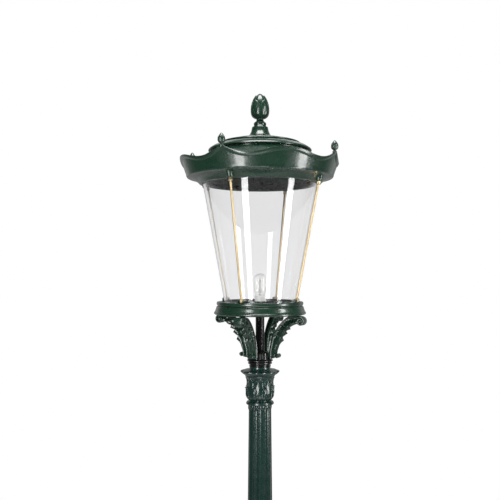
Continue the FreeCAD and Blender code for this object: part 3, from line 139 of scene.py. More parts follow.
def piece(name, form, material, body, stands_for=(), sharp=SHARP_DEGREES):
    """Make the object of a form and settle what it rides on and stands for."""
    mesh = form.mesh(name)
    work = bmesh.new()
    work.from_mesh(mesh)
    bmesh.ops.remove_doubles(work, verts=work.verts, dist=MERGE_DISTANCE)
    bmesh.ops.recalc_face_normals(work, faces=work.faces)
    if work.calc_volume(signed=True) < 0:
        bmesh.ops.reverse_faces(work, faces=work.faces)
    work.to_mesh(mesh)
    work.free()
    mesh.polygons.foreach_set("use_smooth", [True] * len(mesh.polygons))
    mesh.set_sharp_from_angle(angle=math.radians(sharp))
    mesh.materials.append(material)
    item = bpy.data.objects.new(name, mesh)
    bpy.context.scene.collection.objects.link(item)
    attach(item, body)
    if stands_for:
        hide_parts(*stands_for)
    return item


def curve(points, count):
    """A smooth line of count points through the given ones."""
    spots = np.array(points, float)
    padded = np.vstack([2 * spots[0] - spots[1], spots, 2 * spots[-1] - spots[-2]])
    places = np.linspace(0, len(spots) - 1, count)
    index = np.minimum(places.astype(int), len(spots) - 2)
    t = (places - index)[:, None]
    a, b, c, d = (padded[index + step] for step in range(4))
    value = 2 * b + (c - a) * t + (2 * a - 5 * b + 4 * c - d) * t ** 2
    return 0.5 * (value + (3 * b - a - 3 * c + d) * t ** 3)


def outline(points, steps=10):
    """Radius and height points. A third value bows the stretch that reaches that point to its left."""
    line = []
    for index, point in enumerate(points):
        end = np.array(point[:2], float)
        if len(point) == 3:
            start = np.array(points[index - 1][:2], float)
            chord = end - start
            left = np.array([-chord[1], chord[0]]) / np.hypot(*chord)
            for t in np.linspace(0, 1, steps, endpoint=False)[1:]:
                line.append(start + chord * t + left * point[2] * 4 * t * (1 - t))
        line.append(end)
    return np.array(line)


def softened(line, radius, closed=False, steps=3):
    """Round the corners of a line of points."""
    soft = []
    for index, here in enumerate(line):
        if not closed and index in (0, len(line) - 1):
            soft.append(here)
            continue
        back = line[index - 1] - here
        ahead = line[(index + 1) % len(line)] - here
        sizes = np.hypot(*back), np.hypot(*ahead)
        cosine = np.clip(-(back @ ahead) / (sizes[0] * sizes[1]), -1, 1)
        turn = math.acos(cosine)
        if turn < 0.35:
            soft.append(here)
            continue
        reach = min(radius * math.tan(turn / 2), 0.45 * sizes[0], 0.45 * sizes[1])
        start = here + back / sizes[0] * reach
        end = here + ahead / sizes[1] * reach
        for t in np.linspace(0, 1, steps + 1):
            soft.append(start * (1 - t) ** 2 + here * 2 * t * (1 - t) + end * t ** 2)
    return np.array(soft)


def lathe(form, line, sides=192, shaping=None, closed=False):
    """Turn a line of radius and height about Z. The shaping may move each point by its angle."""
    angle = np.linspace(0, TAU, sides, endpoint=False)[None, :]
    radius = line[:, 0][:, None] + 0 * angle
    height = line[:, 1][:, None] + 0 * angle
    if shaping:
        radius, height = shaping(radius, angle, height)
    points = np.stack([radius * np.cos(angle), radius * np.sin(angle), height], axis=-1)
    form.grid(points, ring=True, hoop=closed)


def casting(form, line, radius, sides, shaping=None):
    """Turn a closed line with eased corners about Z."""
    lathe(form, softened(line, radius, closed=True), sides, shaping, closed=True)


def wrapped(radius, across, height, turn):
    """Points from a radius, a distance round it and a height, about a turn in degrees."""
    angle = math.radians(turn) + across / np.maximum(radius, 6.0)
    return np.stack([radius * np.cos(angle), radius * np.sin(angle), height + 0 * angle], axis=-1)


def leaf(form, spine, widths, turn, lobes, notch, relief, thickness, along, across):
    """A carved leaf on a spine of radius and height points, wrapped round the axis at a turn in degrees.
    Its lobes point to the tip, each with a vein, and a midrib stands along the middle."""
    line = curve(spine, along)
    u = np.linspace(0, 1, along)
    beat = (u * lobes) % 1.0
    half = np.interp(u, *zip(*widths)) * (1 - notch * (1 - beat ** 0.7))
    tangent = np.gradient(line, axis=0)
    tangent /= np.hypot(tangent[:, 0], tangent[:, 1])[:, None]
    normal = np.stack([tangent[:, 1], -tangent[:, 0]], axis=1)
    v = np.linspace(-1, 1, 2 * across + 1)[None, :]
    wave = np.cos(TAU * (u[:, None] * lobes - 0.55 - 0.45 * np.abs(v)))
    fade = np.sin(math.pi * np.clip(u, 0.02, 0.98))[:, None] ** 0.5
    carving = 1.2 * np.exp(-(v / 0.14) ** 2) + 0.75 * np.abs(v) ** 0.8 * wave
    front = relief * fade * carving - 0.5 * thickness * np.abs(v) ** 4
    back = np.full_like(front, -thickness)
    offset = np.concatenate([front, back], axis=1)
    side = np.concatenate([v, v[:, ::-1]], axis=1) * half[:, None]
    radius = line[:, :1] + normal[:, :1] * offset
    height = line[:, 1:] + normal[:, 1:] * offset
    form.tube(wrapped(radius, side, height, turn))


def leaves(form, count, base, spine, widths, shift=0.0, **carving):
    """A ring of leaves, the heights of their spine counted from a base."""
    line = [(radius, height + base) for radius, height in spine]
    for index in range(count):
        leaf(form, line, widths, 360.0 / count * index + shift, **carving)


def bar(form, path, radius, sides=12):
    """A round bar along points, with an even or a changing radius."""
    path = np.array(path, float)
    tangent = np.gradient(path, axis=0)
    tangent /= np.linalg.norm(tangent, axis=1)[:, None]
    helper = np.where(np.abs(tangent[:, 2:]) < 0.9, [[0, 0, 1.0]], [[1.0, 0, 0]])
    first = np.cross(tangent, helper)
    first /= np.linalg.norm(first, axis=1)[:, None]
    second = np.cross(tangent, first)
    angle = np.linspace(0, TAU, sides, endpoint=False)
    size = np.broadcast_to(np.asarray(radius, float), (len(path),))[:, None, None]
    ring = first[:, None] * np.cos(angle)[None, :, None] + second[:, None] * np.sin(angle)[None, :, None]
    form.tube(path[:, None] + ring * size)


# Materials


GRAIN_SCALE = 60.0


def nodes_of(name):
    """A new material with its nodes, its shader and its place on the object."""
    material = bpy.data.materials.new(name)
    material.use_nodes = True
    tree = material.node_tree
    shader = next(node for node in tree.nodes if node.type == "BSDF_PRINCIPLED")
    return material, tree, shader, add(tree, "ShaderNodeTexCoord").outputs["Object"]


def add(tree, kind, **values):
    """A node with its sockets and settings given by name."""
    node = tree.nodes.new(kind)
    for key, value in values.items():
        if key in node.bl_rna.properties:
            setattr(node, key, value)
        else:
            node.inputs[key.title()].default_value = value
    return node


def noise(tree, place, scale, detail=4.0, rough=0.55):
    node = add(tree, "ShaderNodeTexNoise", scale=scale, detail=detail, roughness=rough)
    tree.links.new(place, node.inputs["Vector"])
    return node.outputs["Fac"]


def summed(tree, operation, *values):
    """A sum on other nodes' outputs."""
    node = add(tree, "ShaderNodeMath", operation=operation)
    for socket, value in zip(node.inputs, values):
        tree.links.new(value, socket)
    return node.outputs[0]


def spread(tree, value, low, high, start=0.3, end=0.7):
    """Map a value to a range. The defaults are what noise spans."""
    node = tree.nodes.new("ShaderNodeMapRange")
    for name, number in (("From Min", start), ("From Max", end), ("To Min", low), ("To Max", high)):
        node.inputs[name].default_value = number
    tree.links.new(value, node.inputs["Value"])
    return node.outputs["Result"]


def mixed(tree, share, first, second):
    """A colour between two, each a colour or another node's output."""
    node = tree.nodes.new("ShaderNodeMix")
    node.data_type = "RGBA"
    tree.links.new(share, node.inputs["Factor"])
    for socket, colour in ((node.inputs[6], first), (node.inputs[7], second)):
        if isinstance(colour, tuple):
            socket.default_value = (*colour, 1.0)
        else:
            tree.links.new(colour, socket)
    return node.outputs[2]


def bumped(tree, shader, heights):
    """Stack bumps of (height, strength, distance in metres) on a shader."""
    normal = None
    for height, strength, distance in heights:
        node = add(tree, "ShaderNodeBump", strength=strength, distance=distance)
        tree.links.new(height, node.inputs["Height"])
        if normal is not None:
            tree.links.new(normal, node.inputs["Normal"])
        normal = node.outputs["Normal"]
    tree.links.new(normal, shader.inputs["Normal"])


def gloss_paint(name, deep, light, wear_and_sheen, cast):
    """Gloss paint over cast metal: slight pooling of colour, orange peel, and a lighter green on edges that
    is partly thin wear and partly a painted edge highlight.
    """
    material, tree, shader, place = nodes_of(name)
    tint = spread(tree, noise(tree, place, 7.0), 0.0, 1.0)
    colour = mixed(tree, tint, deep, light)
    # Edges and corners are painted a lighter green: partly thin wear, partly a painted highlight along
    # them.
    edges = tree.nodes.new("ShaderNodeNewGeometry").outputs["Pointiness"]
    rubbed_and_edge_lit = spread(tree, edges, 0.0, 0.55, 0.53, 0.62)
    colour = mixed(tree, rubbed_and_edge_lit, colour, wear_and_sheen)
    tree.links.new(colour, shader.inputs["Base Color"])
    tree.links.new(spread(tree, noise(tree, place, 40.0), 0.22, 0.34), shader.inputs["Roughness"])
    shader.inputs["Coat Weight"].default_value = 0.4
    shader.inputs["Coat Roughness"].default_value = 0.11
    bumped(tree, shader, [
        (noise(tree, place, 22.0, 3.0), 0.18 * cast, 0.003),
        (noise(tree, place, 115.0, 3.0), 0.60 * cast, 0.0014),
        (noise(tree, place, 320.0, 2.0), 0.05, 0.0004),
    ])
    return material


def brass_metal():
    material, tree, shader, place = nodes_of("brass_rod")
    tint = spread(tree, noise(tree, place, 30.0), 0.0, 1.0)
    tree.links.new(mixed(tree, tint, (0.40, 0.31, 0.175), (0.51, 0.41, 0.255)), shader.inputs["Base Color"])
    shader.inputs["Metallic"].default_value = 1.0
    tree.links.new(spread(tree, noise(tree, place, 30.0), 0.26, 0.38), shader.inputs["Roughness"])
    bumped(tree, shader, [(noise(tree, place, 400.0, 2.0), 0.04, 0.0002)])
    return material


def clear_glass(name, tint, ripple):
    """Clear blown glass with a faint tint and a slow ripple."""
    material, tree, shader, place = nodes_of(name)
    shade = spread(tree, noise(tree, place, 5.0), 0.0, 1.0)
    lighter = tuple(min(1.0, part * 1.02) for part in tint)
    tree.links.new(mixed(tree, shade, tint, lighter), shader.inputs["Base Color"])
    shader.inputs["Transmission Weight"].default_value = 1.0
    shader.inputs["IOR"].default_value = 1.46
    tree.links.new(spread(tree, noise(tree, place, 60.0), 0.0, 0.02), shader.inputs["Roughness"])
    bumped(tree, shader, [(noise(tree, place, 9.0, 1.0), ripple, 0.002)])
    return material


def plain_finish(name, low, high, rough, metallic=0.0, coat=0.0):
    """A finish whose colour and roughness drift between two values, with a fine grain."""
    material, tree, shader, place = nodes_of(name)
    tint = spread(tree, noise(tree, place, GRAIN_SCALE), 0.0, 1.0)
    tree.links.new(mixed(tree, tint, low, high), shader.inputs["Base Color"])
    wear_and_sheen = spread(tree, noise(tree, place, GRAIN_SCALE * 2), rough * 0.8, rough * 1.25)
    tree.links.new(wear_and_sheen, shader.inputs["Roughness"])
    shader.inputs["Metallic"].default_value = metallic
    shader.inputs["Coat Weight"].default_value = coat
    bumped(tree, shader, [(noise(tree, place, GRAIN_SCALE * 8, 2.0), 0.08, 0.0005)])
    return material


LANTERN_PAINT = gloss_paint(
    "lantern_green", (0.0042, 0.0205, 0.0112), (0.0064, 0.027, 0.0155), (0.022, 0.060, 0.041), 0.5)
POST_PAINT = gloss_paint(
    "post_green", (0.0042, 0.0205, 0.0160), (0.0068, 0.027, 0.0215), (0.024, 0.062, 0.050), 0.4)
DARK_PAINT = gloss_paint(
    "stem_dark", (0.003, 0.0045, 0.0035), (0.006, 0.007, 0.0055), (0.012, 0.015, 0.012), 0.6)
BRASS = brass_metal()
CLEAR = clear_glass("clear_glass", (0.905, 0.905, 0.91), 0.05)
LAMP_CLEAR = clear_glass("lamp_glass_clear", (0.97, 0.97, 0.96), 0.02)
CERAMIC = plain_finish("glazed_ceramic", (0.88, 0.88, 0.86), (0.93, 0.93, 0.91), 0.25, coat=0.4)
STEEL = plain_finish("zinc_plated", (0.50, 0.50, 0.49), (0.62, 0.62, 0.60), 0.35, metallic=1.0)
QUARTZ = clear_glass("burner_quartz", (0.86, 0.86, 0.84), 0.02)
DARK_PLASTIC = plain_finish("moulded_plastic", (0.03, 0.03, 0.032), (0.045, 0.045, 0.047), 0.5)


# Lantern


SCALLOP_CUSP = 25.0
SCALLOP_HUMP = 19.0
VALLEY_HALF = 18.0
ARM_HALF = 45.0
BAND_FOOT = 31.0
BAND_VALLEY = 78.0
BAND_RADIUS = 256.0
RIM_RADIUS = 281.0
BEAD_RISE = 13.0
BEAD_PROUD = 4.0
THROAT_RADIUS = 173.0
SHEET = 4.0
ROOF_RIM = 69.0
HINGE_Y = 192.0
HINGE_RISE = 1.0


def scallop(angle):
    """Height of the crown's rim above its valleys at angles in radians."""
    away = np.abs((np.degrees(angle) - HEAD_TURN + ARM_HALF) % (2 * ARM_HALF) - ARM_HALF)
    cusp = (SCALLOP_CUSP + 3) * (1 - np.minimum(away / VALLEY_HALF, 1)) ** 2
    share = np.clip((away - VALLEY_HALF) / (ARM_HALF - VALLEY_HALF), 0, 1)
    return np.minimum(cusp, SCALLOP_CUSP) + SCALLOP_HUMP * (1 - np.cos(math.pi * share)) / 2


def crown_piece():
    """The flared band with its scalloped bead, the roof up to the throat and the soffit, as one skin."""
    angle = np.linspace(0, TAU, 480, endpoint=False)
    edge = BAND_VALLEY + scallop(angle)
    flare = (RIM_RADIUS - BAND_RADIUS) / (BAND_VALLEY + SCALLOP_CUSP - BAND_FOOT)
    rows = []

    def row(radius, height):
        across = radius + 0 * angle
        level = CROWN_Z + height + 0 * angle
        rows.append(np.stack([across * np.cos(angle), across * np.sin(angle), level], axis=-1))

    def on_band(height, proud):
        row(BAND_RADIUS + (height - BAND_FOOT) * flare + proud, height)

    soffit = outline([(201.5, 13), (205, 6.5), (213, 9.5), (251, 30.2, 4.0), (BAND_RADIUS, BAND_FOOT),
                      (BAND_RADIUS + 2.5, BAND_FOOT + 4.6)])
    for radius, height in softened(soffit, 2.5):
        row(radius, height)
    for share in np.linspace(0.14, 1.0, 9):
        on_band(BAND_FOOT + (edge - BEAD_RISE - BAND_FOOT) * share, 0)
    # The bead swells out of the band and rolls over the edge.
    for share in np.linspace(0, 1, 11):
        lip = 0.2 * math.sin(math.pi * (share * 1.25 - 0.25))
        swell = BEAD_PROUD * math.sin(math.pi * min(1.0, share * 0.5 + 0.02) ** 0.8)
        on_band(edge - BEAD_RISE * (1 - share) ** 1.15 - lip, swell)
    on_band(edge + 0.6, BEAD_PROUD * 0.2)
    on_band(edge + 0.2, -2.2)
    on_band(edge - 1.4, -3.6)
    for share in (0.35, 0.7):
        height = (edge - 2) * (1 - share) + ROOF_RIM * share
        on_band(height, -5.5 - 2 * share)
    for share in np.linspace(0, 1, 9):
        row(263 - 86 * share, ROOF_RIM + 49 * share ** 1.08)
    inner = THROAT_RADIUS - SHEET
    for radius, height in ((THROAT_RADIUS + 1, 118.8), (THROAT_RADIUS, 120), (THROAT_RADIUS, 121),
                           (THROAT_RADIUS - 1, 122), (inner + 1, 122), (inner, 121), (inner, 107)):
        row(radius, height)
    for share in np.linspace(0.1, 1, 8):
        row(inner + 88 * share, 107 - 42 * share)
    for radius, height in ((256, 52), (252, 38), (246, 35), (230, 30), (217, 21), (208, 15)):
        row(radius, height)
    form = Form()
    form.grid(np.stack(rows), ring=True, hoop=True)
    for turn in HEAD_TURNS:
        rod_boss(form, turn)
    hinge_knuckles(form, ((-28, 14), (14, 14)), True)
    return piece("crown_casting", form, LANTERN_PAINT, "post", ["crown"])


ROD_FOOT = 139.0
ROD_HEAD = 222.0
ROD_SEAT = 12.0
BOSS_REACH = 3.0
ROD_RISE = CROWN_Z + ROD_SEAT - GLASS_Z
ROD_ANGLE = math.atan2(ROD_HEAD - ROD_FOOT, ROD_RISE)
ROD_LENGTH = math.hypot(ROD_HEAD - ROD_FOOT, ROD_RISE)


def on_rod(form, line, turn, sides=24, shaping=None):
    """A turning about a leaning rod, its heights counted from the rod's foot."""
    part = Form()
    lathe(part, line, sides, shaping)
    points = part.points[0]
    leaned = points.copy()
    leaned[:, 0] = points[:, 0] * math.cos(ROD_ANGLE) + points[:, 2] * math.sin(ROD_ANGLE) + ROD_FOOT
    leaned[:, 2] = -points[:, 0] * math.sin(ROD_ANGLE) + points[:, 2] * math.cos(ROD_ANGLE) + GLASS_Z
    part.points[0] = leaned
    form.join(part.turned(turn))


def rod_boss(form, turn):
    """Cast boss under the soffit that takes the rod's end."""
    top = ROD_LENGTH
    low = ROD_LENGTH - BOSS_REACH
    line = outline([
        (4.3, top + 6), (4.3, low), (8.2, low), (10.4, top - 1.4), (10.8, top + 4), (12.0, top + 12),
        (13.5, top + 18),
    ])
    on_rod(form, softened(line, 1.5), turn)


def hinge_knuckles(form, spans, on_crown):
    """Barrels on the lid's hinge axis, each with its lug."""
    axis_z = LID_Z + HINGE_RISE
    angle = np.linspace(0, TAU, 28, endpoint=False)[None, :]
    for start, length in spans:
        end = start + length
        rows = np.array([(start, 3.1), (start, 5.9), (start + 0.6, 6.5), (end - 0.6, 6.5), (end, 5.9),
                         (end, 3.1)])
        across = rows[:, :1] + 0 * angle
        reach = rows[:, 1:]
        barrel = [across, HINGE_Y + reach * np.cos(angle), axis_z + reach * np.sin(angle)]
        form.grid(np.stack(barrel, axis=-1), ring=True, hoop=True)
        if on_crown:
            block(form, (start, HINGE_Y - 6.3, axis_z - 30), (end, HINGE_Y + 6.3, axis_z - 1), 1.0)
        else:
            block(form, (start, HINGE_Y - 18, axis_z + 3.4), (end, HINGE_Y - 0.5, axis_z + 6.4), 0.8)


def block(form, low, high, b):
    """A box with edges eased by b, as four stacked rings."""
    (x0, y0, z0), (x1, y1, z1) = low, high
    rows = []
    for inset, z in ((b, z0), (0, z0 + b), (0, z1 - b), (b, z1)):
        ring = []
        for cx, cy, sx, sy in ((x1, y1, -1, -1), (x0, y1, 1, -1), (x0, y0, 1, 1), (x1, y0, -1, 1)):
            px, py = cx + sx * inset, cy + sy * inset
            steps = ((0, b), (b, 0)) if sx * sy > 0 else ((b, 0), (0, b))
            for dx, dy in steps:
                ring.append((px + sx * dx, py + sy * dy, z))
        rows.append(ring)
    form.tube(np.array(rows, float))


def lid_piece():
    """Two-tiered domed lid."""
    line = outline([
        (5.3, 54), (42, 53.6), (128, 33.4, 0.8), (136, 32.0), (141.0, 30.4), (142.4, 28.0),
        (141.0, 25.4), (138.6, 21.8), (143.0, 20.6), (172, 12.4, 3.0), (179.6, 7.4), (182, 3.4),
        (180, 0.2), (173, 0.2), (134, 17), (40, 46), (5.3, 50),
    ], 14)
    form = Form()
    line[:, 1] += LID_Z
    casting(form, line, 2.2, 256)
    hinge_knuckles(form, ((-13.6, 27.2),), False)
    return piece("lid_casting", form, LANTERN_PAINT, "lid", ["lid_dome"])


# Each tier of scales: the line up its middle from root to tip, half its width, its count and its turn.
CONE_TIERS = (
    (((15, 62.5), (23, 65.5), (29.3, 72), (32.4, 82), (33.0, 93), (32.6, 103), (32.2, 109)), 19.0, 5, 0.0),
    (((28, 79), (31.6, 91), (31.9, 105), (30.2, 118), (28.0, 126)), 17.5, 5, 0.5),
    (((27.5, 101), (28.8, 114), (26.0, 127), (20.2, 138), (15.0, 144.8)), 15.5, 5, 0.0),
    (((23, 121), (20.0, 132.5), (13.8, 142), (6.8, 148.4), (1.4, 151.6)), 11.0, 4, 0.5),
)
BUD_TIERS = (
    (((4.4, 5.4), (8.6, 7.4), (11.8, 12), (12.4, 18), (11.4, 25), (9.4, 30)), 7.6, 5, 0.0),
    (((10.5, 14), (10.9, 22), (8.4, 29), (4.8, 34.6), (1.4, 38.4)), 6.8, 4, 0.5),
)
SCALE_WIDTHS = ((0, 0.5), (0.25, 0.95), (0.45, 1.0), (0.68, 0.78), (0.88, 0.36), (1, 0.03))


def scales(form, tiers, base, thickness, turn=0.0):
    """Tiers of smooth pointed scales that overlap upward."""
    for spine, half, count, shift in tiers:
        widths = [(share, half * wide) for share, wide in SCALE_WIDTHS]
        leaves(form, count, base, spine, widths, 360.0 / count * shift + turn,
               lobes=1, notch=0.0, relief=0.1, thickness=thickness, along=22, across=5)


def cone_piece():
    """Cone of overlapping pointed scales on a turned foot."""
    form = Form()
    foot = outline([
        (4.9, -14), (4.9, 0.5), (40.2, 0.5), (40.4, 2.2), (34.6, 10.5, 0.6), (30.0, 22.0, 0.6),
        (28.8, 28.0), (28.4, 31.5), (26.8, 33.6), (22.3, 36.0, 1.0), (21.0, 39), (22.0, 42),
        (21.6, 47.5), (17.2, 51.8), (12.8, 57, 1.2), (11.4, 60.5), (13, 63), (20, 66.5), (26.5, 72),
        (29.2, 82), (29.6, 95), (28.0, 111.5), (23.6, 127), (16.4, 139), (7.4, 147.2), (0.2, 150.2),
    ])
    foot[:, 1] += CONE_Z
    lathe(form, softened(foot, 1.4), 120)
    scales(form, CONE_TIERS, CONE_Z, 2.4, -86.5)
    return piece("cone_scales", form, LANTERN_PAINT, "lid", ["cone_finial"], sharp=50)


def bud_pieces():
    """Small buds on the crown's rim, each with two tiers of folded leaves on a short turned neck."""
    base = lowest("small_finial_1")
    line = outline([
        (0.2, -8.0), (7.4, -8.0), (7.6, 1.3), (6.0, 2.8), (4.6, 3.8), (5.0, 5.0), (8.0, 7.4),
        (10.2, 12), (10.8, 18), (9.6, 26), (6.2, 33), (2.2, 37.2), (0.1, 37.8),
    ])
    out = RIM_RADIUS - 3.0
    for number, turn in enumerate(HEAD_TURNS, 1):
        form = Form()
        lathe(form, softened(line, 1.0), 64)
        scales(form, BUD_TIERS, 0.0, 1.3)
        form.turned(turn)
        angle = math.radians(turn)
        seat = np.array([out * math.cos(angle), out * math.sin(angle), base])
        form.points = [points + seat for points in form.points]
        stands_for = [f"small_finial_{number}"]
        piece(f"rim_bud_{number}", form, LANTERN_PAINT, "post", stands_for, 50)


def glass_piece():
    """The tapering clear glass, with a ground edge at each end."""
    form = Form()
    line = outline([(121.9, GLASS_Z + 0.4), (122.5, GLASS_Z), (125.0, GLASS_Z), (125.6, GLASS_Z + 0.6)])
    upper = outline([
        (201.0, GLASS_TOP - 0.6), (200.4, GLASS_TOP), (197.6, GLASS_TOP), (197.0, GLASS_TOP - 0.6),
    ])
    steps = np.linspace(0, 1, 12)[1:-1, None]
    outer = line[-1] + (upper[0] - line[-1]) * steps
    inner = upper[-1] + (line[0] - upper[-1]) * steps
    lathe(form, np.vstack([line, outer, upper, inner]), 288, closed=True)
    return piece("clear_cone", form, CLEAR, "post", ["glass_cone"], sharp=GLASS_SHARP)


def rod_pieces():
    """Tie rods as clean round bars with eased ends."""
    line = outline([(0.1, 1.2), (3.5, 1.2), (4.0, 1.8), (4.0, ROD_LENGTH - 0.6), (3.5, ROD_LENGTH),
                    (0.1, ROD_LENGTH)])
    for number, turn in enumerate(HEAD_TURNS, 1):
        form = Form()
        on_rod(form, line, turn, 32)
        piece(f"round_rod_{number}", form, BRASS, "post", [f"tie_rod_{number}"])


def nut_pieces():
    """Collared nuts under the bosses and cup nuts at the rods' feet."""
    heads = Form()
    feet = Form()
    top = ROD_LENGTH - BOSS_REACH

    def six_sided(radius, angle, height):
        flat = np.cos(math.pi / 6) / np.cos((angle % (TAU / 6)) - math.pi / 6)
        sided = (height > top - 6.6) & (height < top - 0.4) & (radius > 5)
        return np.where(sided, radius * flat, radius), height

    collar = outline([(4.3, top - 12), (6.4, top - 12), (7.9, top - 11), (7.9, top - 8), (6.8, top - 7),
                      (6.4, top - 6), (6.4, top - 1.0), (5.8, top - 0.3), (4.3, top - 0.3)])
    cup = outline([(4.3, 2), (7.2, 2), (8.0, 3), (8.0, 9), (7.0, 11.5), (5.2, 13.6), (4.3, 14)])
    for turn in HEAD_TURNS:
        on_rod(heads, softened(collar, 0.5), turn, 36, six_sided)
        on_rod(feet, softened(cup, 0.8), turn, 36)
    piece("rod_collar_nuts", heads, BRASS, "post", ["rod_head_nuts"])
    piece("rod_cup_nuts", feet, BRASS, "post", ["rod_foot_nuts"])


def gallery_piece():
    """Cast dish with a rolled foot, flared skirt, ring and the rim that locates the glass."""
    line = outline([
        (15.9, 4), (30, 4), (30, 28), (105, 28), (105, 0.3), (146, 0.2), (152, 0.2), (157.5, 1.0),
        (161.6, 4.0), (161.8, 7.5), (155.4, 20.0, 0.8), (153.4, 27.0), (151.2, 30.4), (147.6, 31.6),
        (147.6, 32.8), (150.8, 33.8), (152.3, 37.0), (152.3, 42.0), (150.5, 45.4), (147, 46), (128, 46),
        (127.2, 45.6), (121.3, 45.6), (121.3, 50.4), (120.5, 51), (117.2, 51), (116.3, 50.4),
        (116.3, 41), (114, 40), (15.9, 40),
    ])
    line[:, 1] += GALLERY_Z
    form = Form()
    casting(form, line, 1.8, 256)
    for turn in HEAD_TURNS:
        pair = Form()
        for side in (-1, 1):
            low = (ROD_FOOT - 6, side * 11 - 2, GLASS_Z - 1.5)
            high = (ROD_FOOT + 6, side * 11 + 2, GLASS_Z + 11)
            block(pair, low, high, 1.2)
        form.join(pair.turned(turn))
    return piece("gallery_casting", form, LANTERN_PAINT, "post", ["gallery"])


def stem_piece():
    """Stem with its stacked rings, the bracket collar with four pads and the dark cable tube."""
    z = STEM_Z
    line = outline([
        (11, 0), (37.5, 0), (38.5, 3), (36.5, 6), (37, 8), (41.5, 9.5), (42.7, 12.5), (41.5, 15.5),
        (38.0, 17.0), (38.4, 18.6), (44.4, 19.4), (45.6, 21), (45.6, 22.6), (44, 24.4), (37.5, 26.4),
        (36.7, 29), (36.7, 43), (35.6, 48), (31, 51.5), (19, 53), (15.5, 57), (15.5, 214), (11, 214),
    ])
    line[:, 1] += z

    def ribbed(radius, angle, height):
        """Shallow upright flutes round the collar between the arms."""
        on_collar = np.clip((height - z - 28) / 2, 0, 1) * np.clip((z + 47 - height) / 3, 0, 1)
        return radius - on_collar * 1.6 * (0.5 + 0.5 * np.cos(16 * angle)), height

    form = Form()
    casting(form, line, 1.3, 160, ribbed)
    return piece("stem_casting", form, DARK_PAINT, "post", ["lantern_stem"])


ARM_INNER = [
    (37.2, -6), (37.2, 14), (38.4, 34), (46.5, 70), (55.5, 88), (70, 111), (88, 131), (109, 146),
    (136, 149.6), (158, 149.6),
]
ARM_OUTER = [
    (59, 1), (61, 17), (64.0, 30), (74.5, 58), (86.5, 80), (97.5, 97), (109, 110), (125, 120.5),
    (142, 126), (156, 128),
]
ARM_LOBES = 7.5
TOOTH_SIZES = ((0.26, 0.0), (0.34, 12.0), (0.62, 12.0), (0.74, 6.0), (0.88, 3.0), (0.93, 0.0))
TOOTH_TIP = 0.7
WEB_EYES = (0.42, 0.52, 0.62)
ARM_WIDTH = 15.0
LEAF_WIDTH = 18.5
# Each scroll: its centre, radius, half width, start in degrees and turns.
UPPER_SCROLL = ((156.6, 130.6), 18.2, 15.5, 100.0, -1.7)
LOWER_SCROLL = ((69.0, 9.8), 10.4, 13.0, 150.0, 1.5)
# A coil's section, as shares of its depth and of its half width.
COIL_SECTION = ((1.0, 0.72), (0.86, 0.94), (0.5, 1.0), (0.0, 0.96), (0.0, -0.96), (0.5, -1.0),
                (0.86, -0.94), (1.0, -0.72))


def arm_form():
    """One bracket arm in the XZ plane: a round inner rail, a carved web and a toothed leaf outside."""
    form = Form()
    stations = 150
    inner = curve(ARM_INNER, stations)
    outer = curve(ARM_OUTER, stations)
    u = np.linspace(0, 1, stations)[:, None]
    reach = outer - inner
    beat = (u * ARM_LOBES) % 1.0
    active = np.clip((u - 0.26) / 0.06, 0, 1) * np.clip((0.92 - u) / 0.05, 0, 1)
    peak = np.minimum(beat / TOOTH_TIP, (1 - beat) / (1 - TOOTH_TIP)) - 0.25
    tooth = np.interp(u, *zip(*TOOTH_SIZES)) * peak
    sides = np.linspace(0, 1, 13)[None, :]
    rail = np.exp(-((sides - 0.10) / 0.13) ** 2)
    wave = np.cos(TAU * (u * ARM_LOBES - 0.9 * sides))
    half = 7.5 + 3.4 * rail + active * 1.4 * wave * np.clip((sides - 0.35) * 4, 0, 1)
    half = half + (ARM_WIDTH - 8.0) * np.clip((sides - 0.45) / 0.4, 0, 1) ** 1.5
    for eye in WEB_EYES:
        half = half - 4.5 * np.exp(-((u - eye) / 0.026) ** 2 - ((sides - 0.52) / 0.15) ** 2)
    half[:, 0] = 0.0
    half[:, 1] *= 0.82
    face = np.linspace(1, -1, 19)[None, 1:-1]
    width = (LEAF_WIDTH - 3.0 * (1 - beat) * active) * (0.62 + 0.38 * np.clip((u - 0.05) / 0.3, 0, 1))
    swell = 3.0 * np.exp(-(face / 0.15) ** 2) - 2.2 * np.exp(-((np.abs(face) - 0.40) / 0.18) ** 2)
    swell = swell + 1.3 * np.abs(face) * np.cos(TAU * (u * ARM_LOBES + 0.8 * np.abs(face))) * active
    lift = swell + tooth * np.abs(face) ** 1.5 + 2.0 * (1 - face ** 2)
    along = reach / np.linalg.norm(reach, axis=1)[:, None]

    def at(share, offset, across):
        spot = inner[:, None, :] + reach[:, None, :] * share[..., None]
        spot = spot + along[:, None, :] * offset[..., None]
        return np.stack([spot[..., 0], across, spot[..., 1]], axis=-1)

    edge = tooth * np.clip((sides - 0.8) * 5, 0, 1)
    right = at(sides + 0 * u, edge, half)
    front = at(1 + 0 * (face + u), lift, face * width)
    left = at(sides + 0 * u, edge, -half)[:, ::-1]
    form.tube(np.concatenate([right, front, left[:, :-1]], axis=1))
    volute(form, *UPPER_SCROLL)
    volute(form, *LOWER_SCROLL)
    return form


